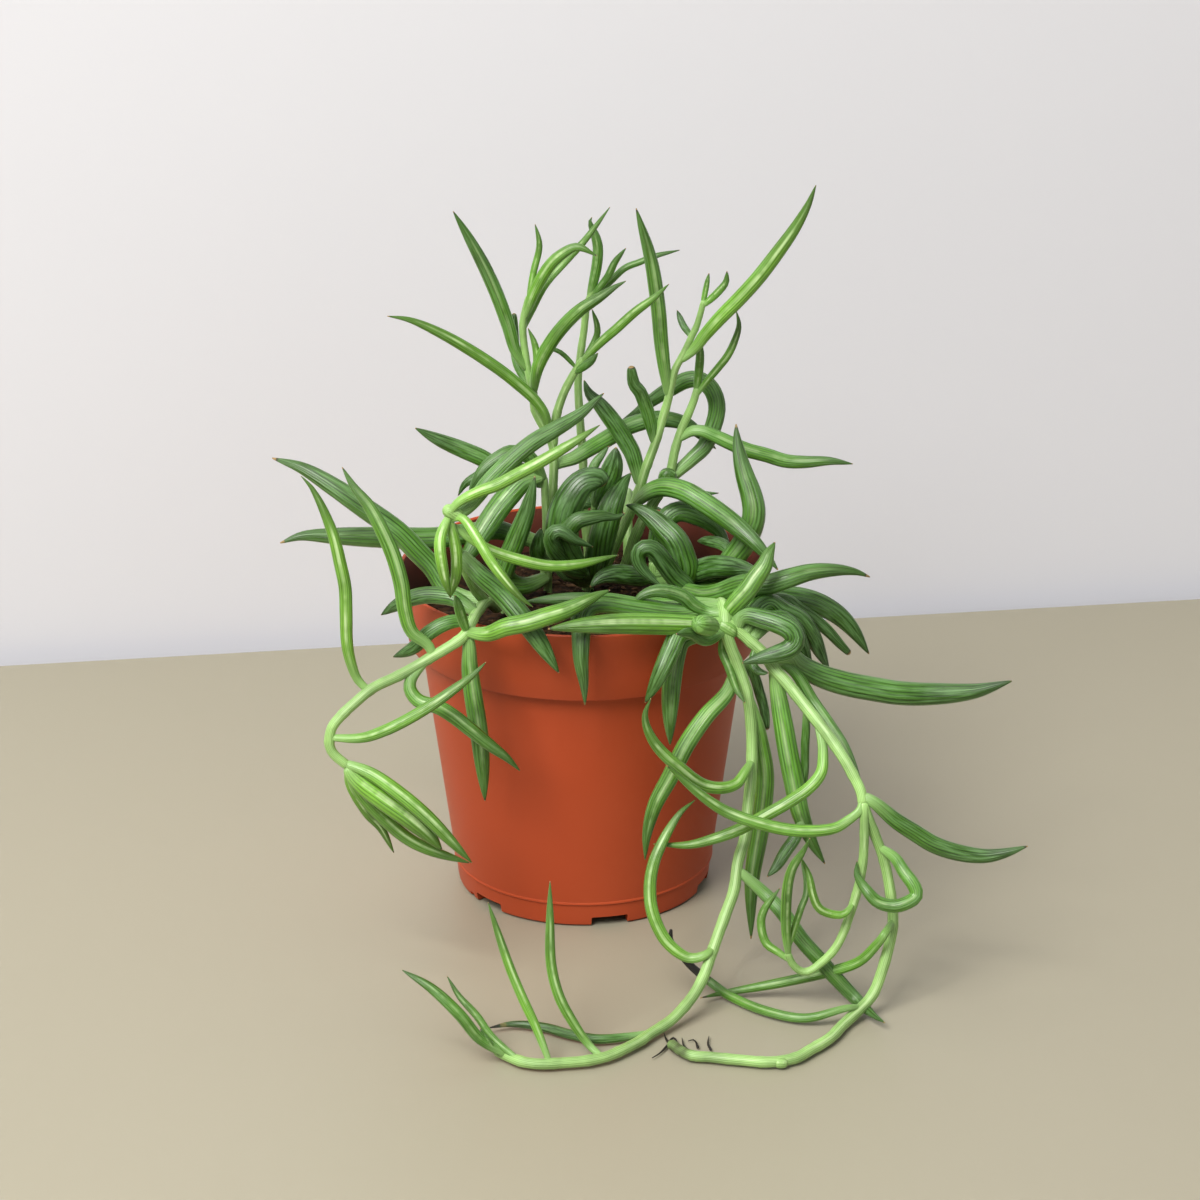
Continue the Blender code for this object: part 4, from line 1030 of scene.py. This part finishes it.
s.leaf([425, 661, 412, 677, 410, 689, 419, 701, 438, 707, 453, 716, 471, 730, 491, 746, 507, 758,
        520, 771], (58, 64, 66, 64), 15, 0.6)
s.leaf([345, 763, 370, 773, 400, 794, 425, 815, 450, 840, 472, 863], (72, 78, 80), 15, 0.75)
s.leaf([346, 765, 352, 780, 366, 800, 392, 826, 410, 840, 430, 850, 450, 857, 470, 863],
        (72, 70, 72), 14, 0.7)
s.leaf([347, 765, 358, 780, 385, 800, 410, 818, 430, 836, 442, 850], (72, 74, 76), 23, 0.85)
s.leaf([347, 766, 350, 785, 367, 813, 381, 828, 394, 853], (72, 68, 66), 10, 0.85)
s.leaf([448, 514, 459, 502, 478, 492, 497, 485, 516, 475, 535, 465, 554, 454, 574, 442, 600, 425],
        (58, 60, 56, 52), 13, 0.95)
s.leaf([450, 518, 462, 512, 472, 503, 487, 484, 502, 469, 516, 456, 535, 441, 554, 430, 580, 414,
        604, 393], (57, 52, 46, 40), 18, 0.35)
s.leaf([448, 516, 440, 540, 443, 570, 450, 597], (58, 63, 62), 12, 0.95)
s.leaf([450, 518, 456, 550, 456, 575, 450, 598], (57, 58, 57), 12, 0.95)
s.leaf([450, 520, 462, 518, 475, 535, 490, 560, 505, 580, 520, 597, 533, 607], (57, 64, 68, 68),
        11, 0.9)
s.leaf([452, 525, 470, 538, 490, 550, 520, 560, 550, 566, 580, 564, 610, 557, 619, 555],
        (56, 56, 50, 42), 12, 0.9)
s.leaf([468, 634, 462, 618, 455, 595], (54, 60), 11, 0.6)
s.leaf([462, 562, 480, 575, 500, 592, 520, 615, 535, 635, 548, 655, 559, 673], (51, 52, 58, 62),
        22, 0.3)
s.leaf([489, 603, 465, 598, 447, 590, 433, 568, 418, 552, 398, 532, 366, 509, 334, 487, 302, 468,
        272, 458], (28, 20, 18, 14, 8), 22, 0.3)
s.leaf([477, 612, 455, 599, 430, 595, 412, 598, 395, 606, 381, 615], (44, 40, 38, 36), 18, 0.2)
s.leaf([473, 620, 450, 622, 430, 632, 413, 648, 393, 657], (50, 52, 53, 50), 16, 0.2)
s.knob([443, 509, 452, 512, 463, 518], (58, 57, 57), 15)
s.finish()


# Left crown stem: a short rooted shoot whose old, tough leaves reach out to the left,
# level or hooked.
s = Growth("crown_left_growth", "stem_crown_left")
s.stem([548, 600, 548, 575, 547, 545, 546, 512, 544, 476], (-12, -10, -9, -8), (9, 9, 8),
        rooted=True)
s.leaf([543, 478, 525, 480, 510, 494, 497, 510, 482, 533, 470, 552, 463, 562], (-8, -2, 5), 24,
        0.45, 0.4)
s.leaf([547, 580, 522, 586, 504, 576, 507, 562, 516, 540, 526, 514, 531, 495, 535, 476],
        (-10, 2, 3, 2), 21, 0.35)
s.leaf([547, 545, 515, 535, 497, 530, 466, 534, 434, 538, 405, 538, 366, 537, 334, 536, 302, 536,
        280, 543], (-9, -5, 2, 4, 6), 22, 0.3)
s.leaf([544, 484, 520, 474, 493, 465, 482, 458, 461, 449, 437, 439, 415, 428], (-8, -12, -12, -10),
        18, 0.3)
s.leaf([544, 480, 530, 458, 512, 452, 500, 457, 484, 469, 472, 486, 469, 493], (-8, -2, 2), 15,
        0.3)
s.leaf([544, 482, 515, 466, 492, 468, 478, 476, 465, 484, 458, 496], (-8, -6, -5), 12, 0.15)
s.leaf([547, 565, 538, 555, 539, 540, 541, 528], (-10, -3, -3), 17, 0.3)
s.finish()


# Middle crown stem: a short rooted shoot with thick, dark, hooked leaves in the heart
# of the plant.
s = Growth("crown_middle_growth", "stem_crown_middle")
s.stem([588, 602, 590, 570, 592, 535, 597, 500], (-13, -11, -10, -9), (13, 12, 10), rooted=True)
s.leaf([590, 582, 571, 566, 562, 540, 564, 515, 572, 496, 584, 482, 598, 479, 604, 485],
        (-12, 0, 3, 2, 0), 34, 0.1, 0.55)
s.leaf([597, 508, 603, 492, 610, 476, 614, 462, 616, 447], (-9, -7), 23, 0.15)
s.leaf([596, 504, 590, 484, 594, 466, 609, 446], (-9, -14), 10, 0.4)
s.leaf([590, 584, 594, 572, 597, 560, 603, 535, 612, 505, 622, 485, 631, 473], (-11, -3, -3, -9),
        27, 0.25)
s.leaf([593, 528, 578, 509, 590, 502, 611, 501], (-10, -14), 12, 0.05)
s.leaf([590, 578, 574, 560, 566, 536, 577, 521, 589, 518, 603, 516, 617, 517, 625, 513],
        (-12, 6, 10, 9, 6), 19, 0.3)
s.leaf([590, 576, 570, 568, 555, 550, 552, 535, 560, 531, 575, 540, 593, 547],
        (-11, 6, 12, 14, 13), 18, 0.15)
s.finish()


# Right crown stem: a short rooted shoot whose dark leaves curl over one another and
# out across the rim on the right.
s = Growth("crown_right_growth", "stem_crown_right")
s.stem([656, 604, 655, 580, 654, 560], (-15, -12, -10), (13, 12), rooted=True)
s.leaf([655, 580, 678, 584, 686, 572, 681, 552, 675, 540, 663, 528, 651, 517, 636, 508, 626, 505],
        (-13, 0, 0, -5, -9), 26, 0.2)
s.leaf([655, 582, 676, 593, 686, 588, 675, 577, 663, 561, 656, 552, 648, 548, 641, 550, 638, 557,
        641, 567, 651, 578, 662, 587], (-13, 6, 9, 10, 13), 20, 0.2)
s.leaf([654, 576, 647, 577, 639, 577, 627, 575, 614, 574, 600, 578, 590, 587], (-12, -1, 3, 6), 21,
        0.15)
s.leaf([655, 576, 680, 582, 709, 581, 723, 571, 733, 558, 744, 543, 752, 525, 754, 510, 751, 494,
        745, 476, 740, 457, 737, 438, 736, 424], (-13, -3, 0, 0, -5, -9), 24, 0.4)
s.leaf([654, 566, 660, 530, 676, 512, 700, 517, 715, 527, 730, 545], (-10, -14, -12), 21, 0.25)
s.leaf([654, 568, 664, 530, 690, 497, 719, 493], (-10, -17, -17), 9, 0.2)
s.leaf([733, 557, 725, 546, 710, 541, 697, 541], (0, -5, -8), 13, 0.2)
s.leaf([655, 572, 680, 570, 692, 572, 715, 567, 740, 568, 760, 572], (-12, -4, 6, 15), 24, 0.1)
s.leaf([655, 578, 680, 590, 702, 596, 718, 594, 747, 584, 766, 585, 786, 579, 811, 572, 837, 570,
        856, 572, 870, 577], (-12, 14, 34, 38, 35, 30), 22, 0.45)
s.finish()


# Trailing stems at the front right: limp, fleshy and rooted as one, they hang over
# the rim and run down to the table, where one turns along it and one ends in a cut
# with dried roots.
s = Growth("front_right_growth", "stem_front_right")


def dying_half(share):
    """Withered and dark over the outer half, black at the end."""
    return 0.37 * min(max((share - 0.42) / 0.1, 0.0), 1.0) + 5.0 * max(0.0, share - 0.88)


def dying_end(share):
    """Dried black over the last part."""
    return min(max((share - 0.70) / 0.08, 0.0), 1.0)


def cut_end(share):
    """Stained and scarred towards the cut."""
    return 0.36 * min(max((share - 0.80) / 0.18, 0.0), 1.0)


s.stem([(712, 634, 15), (716, 615, 24), (720, 604, 34), (723, 606, 42), (725, 616, 46),
        (726, 630, 48), (730, 645, 49), (738, 665, 50), (747, 693, 53), (751, 722), (752, 750),
        (751, 779), (748, 805), (745, 837), (738, 862), (734, 890), (726, 913), (718, 935),
        (711, 955), (705, 973), (696, 991), (685, 1006), (670, 1021), (650, 1034), (640, 1041),
        (620, 1051), (605, 1057), (585, 1061), (560, 1063), (540, 1064), (520, 1061), (495, 1050)],
        (15, 48, 52, 56, 62, 70, 78, 88, 100, 104, 110, 112), (13, 13, 12, 12, 11, 11),
        rooted=True)
s.stem([725, 622, 742, 634, 751, 642, 764, 654, 772, 666, 787, 683, 806, 707, 828, 735, 843, 757,
        853, 775, 861, 792, 863, 806], (46, 50, 58, 70, 78), (12, 13, 13, 11))
s.stem([863, 800, 864, 812, 864, 844, 862, 869, 857, 892, 850, 914, 842, 936, 834, 950, 822, 962,
        806, 972, 794, 966, 787, 952], (78, 82, 86, 88), (10, 10, 8))
s.stem([863, 800, 866, 812, 875, 835, 884, 860, 890, 890, 893, 920, 889, 946, 876, 988, 867, 1002,
        847, 1021, 830, 1038, 810, 1050, 795, 1058, 770, 1062, 740, 1060, 710, 1057, 690, 1055,
        669, 1043], (78, 78, 82, 88, 94, 98, 98, 90), (11, 12, 12, 11), dry=cut_end)
s.leaf([736, 660, 735, 672, 727, 693, 706, 716, 686, 745, 670, 777, 655, 805, 647, 834, 645, 860],
        (47, 56, 62, 66), 18, 0.6)
s.leaf([751, 760, 745, 772, 736, 784, 719, 788, 701, 784, 681, 769, 661, 751, 649, 733, 645, 715,
        651, 698], (60, 70, 74, 74, 72), 13, 0.8)
s.leaf([748, 698, 756, 723, 761, 746, 765, 773, 764, 798, 760, 830, 752, 880, 751, 939],
        (53, 52, 56, 64), 19, 0.55)
s.leaf([716, 945, 705, 955, 690, 958, 675, 950, 662, 935, 652, 910, 650, 885, 654, 862, 662, 843,
        670, 828, 681, 812, 695, 800], (86, 84, 80, 74, 68), 13, 0.8)
s.leaf([655, 1033, 625, 1037, 597, 1039, 569, 1034, 543, 1027, 513, 1024, 488, 1028],
        (104, 96, 92), 10, 0.1, dry=dying_half)
s.leaf([605, 1059, 589, 1045, 574, 1024, 559, 996, 551, 963, 550, 922, 550, 881],
        (114, 112, 106, 100), 11, 0.75)
s.leaf([550, 1060, 536, 1027, 523, 999, 510, 968, 497, 930, 488, 902], (118, 112, 104), 10, 0.75)
s.leaf([520, 1060, 492, 1037, 477, 1016, 459, 996, 447, 976], (118, 112, 106), 8, 0.6)
s.leaf([507, 1056, 480, 1039, 459, 1014, 431, 988, 402, 970], (116, 118, 112), 12, 0.5)
s.leaf([770, 662, 782, 663, 797, 675, 812, 700, 828, 723, 844, 747, 862, 785], (48, 50, 60, 72),
        13, 0.4)
s.leaf([815, 722, 822, 742, 823, 756, 821, 773, 809, 788, 789, 802, 768, 814, 740, 829, 713, 839,
        687, 845, 653, 844], (62, 72, 74, 74, 72), 13, 0.8)
s.leaf([774, 668, 776, 680, 778, 693, 783, 722, 788, 751, 794, 782, 800, 811, 811, 840, 825, 864],
        (50, 56, 62, 66), 21, 0.5)
s.leaf([806, 710, 806, 730, 805, 747, 805, 773, 804, 795], (58, 58, 60), 9, 0.25)
s.leaf([862, 798, 860, 810, 850, 819, 835, 828, 810, 831, 783, 829, 751, 821, 727, 812, 709, 801,
        691, 787, 675, 773, 666, 765], (78, 82, 82, 80, 80), 13, 0.75)
s.leaf([862, 794, 875, 803, 895, 820, 915, 833, 935, 845, 960, 853, 985, 856, 1005, 853,
        1028, 846], (78, 76, 74, 76), 18, 0.3)
s.leaf([803, 820, 795, 838, 786, 851, 776, 867, 767, 877], (64, 72), 13, 0.25)
s.leaf([766, 873, 764, 893, 783, 913, 802, 940, 821, 961, 834, 976, 856, 999, 872, 1014,
        885, 1023], (70, 80, 84, 86), 16, 0.35)
s.leaf([788, 956, 786, 930, 787, 892, 792, 869, 804, 850, 810, 838], (88, 90, 92), 11, 0.7)
s.leaf([792, 962, 778, 952, 766, 943, 761, 923, 764, 910, 773, 897, 780, 888], (88, 84, 82), 9,
        0.7)
s.leaf([853, 906, 844, 914, 831, 914, 819, 908, 813, 895, 809, 876, 801, 857], (87, 90, 88), 9,
        0.75)
s.leaf([793, 928, 801, 908, 806, 895, 806, 880, 801, 861], (90, 84, 80), 7, 0.6)
s.leaf([886, 850, 895, 858, 904, 872, 914, 886, 916, 896, 904, 904, 893, 906, 878, 902, 868, 892,
        857, 875, 857, 861], (80, 88, 92, 90, 82), 14, 0.5)
s.leaf([892, 925, 884, 935, 878, 943, 860, 961, 836, 970, 798, 979, 763, 986, 723, 993, 700, 998],
        (90, 84, 80, 78), 11, 0.6)
s.leaf([866, 1003, 847, 1008, 806, 1018, 766, 1011, 730, 996, 713, 984, 691, 966, 678, 951,
        671, 940, 671, 929], (94, 96, 84, 76, 72), 10, 0.5, 0.35, dying_end)
# Leaves along the front of the rim.
s.leaf([720, 604, 700, 603, 670, 604, 630, 606, 590, 600, 560, 599, 523, 602], (36, 37, 38, 38),
        16, 0.4)
s.leaf([722, 624, 707, 612, 694, 606, 684, 597, 670, 592, 656, 591, 641, 596, 632, 605],
        (43, 44, 46, 48), 15, 0.5)
s.leaf([724, 628, 690, 625, 650, 624, 610, 624, 575, 626, 548, 629], (44, 54, 62, 65), 22, 0.75)
s.leaf([716, 618, 680, 612, 640, 608, 600, 603, 583, 612, 581, 637, 581, 660, 584, 685, 585, 705],
        (42, 46, 50, 60, 62), 21, 0.3)
s.leaf([722, 629, 700, 630, 680, 633, 671, 650, 662, 670, 652, 690, 645, 703], (44, 52, 58, 60),
        20, 0.3)
s.leaf([724, 630, 700, 634, 682, 640, 676, 655, 672, 680, 670, 710, 670, 745], (44, 48, 52, 54),
        20, 0.4)
s.leaf([723, 630, 707, 640, 690, 633, 676, 634], (44, 56, 66), 13, 0.3)
s.leaf([724, 628, 722, 648, 729, 668, 737, 690, 745, 703], (44, 50, 60), 9, 0.6)
s.leaf([736, 662, 752, 672, 760, 694, 765, 713, 767, 730], (47, 46, 50), 11, 0.15, 0.5)
# Leaves that hang over the rim's right end.
s.leaf([724, 626, 728, 614, 735, 604, 747, 591, 755, 579, 764, 566, 769, 553, 775, 542],
        (44, 46, 44, 40), 20, 0.7)
s.leaf([740, 633, 752, 607, 765, 594, 776, 596, 802, 599, 821, 605, 838, 615, 853, 630, 869, 654],
        (46, 28, 24, 24), 24, 0.2)
s.leaf([742, 634, 765, 602, 785, 600, 800, 610, 815, 620, 828, 631, 840, 644, 850, 654],
        (47, 33, 29, 28), 14, 0.2, 0.45)
s.leaf([743, 635, 756, 612, 768, 603, 783, 611, 800, 620, 811, 634, 820, 652, 829, 670],
        (47, 37, 35, 34), 21, 0.15)
s.leaf([750, 641, 775, 618, 792, 625, 800, 640, 808, 659, 811, 668], (48, 42, 39, 38), 17, 0.1)
s.leaf([733, 630, 743, 616, 764, 619, 779, 624, 791, 631, 795, 641, 789, 649, 776, 654, 761, 658,
        742, 663], (45, 50, 54, 56), 21, 0.2)
s.leaf([768, 660, 790, 657, 802, 666, 821, 676, 847, 684, 879, 690, 899, 693, 930, 694, 975, 691,
        1012, 681], (48, 44, 42, 44), 25, 0.22)
s.knob([714, 627, 704, 625, 696, 624], (54, 59, 63), 21, 0.2)
s.knob([714, 622, 724, 627, 737, 635], (45, 48, 48), 17, 0.45)
s.knob([788, 1062, 781, 1063, 774, 1063], (98, 99, 98), 11)
s.leaf([748, 655, 753, 664, 760, 672, 769, 673], (48, 52, 54), 9, 0.3)
s.leaf([506, 1056, 497, 1052, 488, 1041, 480, 1028], (116, 117, 116), 6, 0.5)
# Dried roots at the cut end.
for points in ([669, 1043, 666, 1039, 664, 1033], [669, 1043, 674, 1038, 677, 1047],
               [668, 1045, 660, 1053, 652, 1058], [698, 1048, 694, 1040, 688, 1041],
               [711, 1050, 708, 1044, 709, 1036], [690, 1052, 684, 1046, 682, 1038]):
    s.root(points, (91, 95, 98), 3)
s.finish()


# Trailing stem at the back: a short leafy stem, rooted in the mix, that hangs over the
# far rim, all but out of sight from the front.
s = Growth("back_growth", "stem_back")
path = smooth_path([Vector(point) * MM for point in (
    (13, 36, 70), (13, 36, 76), (13, 36, 85.5), (13, 41, 95), (13, 50, 99), (13, 58, 94),
    (12, 62, 82), (9, 63, 68), (8, 63, 56))])
s.lines.append(path)
s.shape_stem(path, lambda share: 1.55 * MM * (1 - 0.35 * share), 0.7)
for across, out, high, side, drop in [
        (13, 57, 95, 26, 14), (13, 58, 94, -20, 12), (12, 61, 86, 20, 26),
        (11, 62, 80, -22, 24), (10, 63, 72, 18, 30), (9, 63, 66, -16, 30),
        (8, 63, 60, 6, 34), (8, 63, 58, -6, 30)]:
    path = smooth_path([Vector(point) * MM for point in (
        (across, out, high), (across + side * 0.4, out + 4, high + 2),
        (across + side * 0.8, out + 9, high - drop * 0.35),
        (across + side, out + 8, high - drop))])
    s.shape_leaf(path, 2.3 * MM, 0.35)
s.finish()
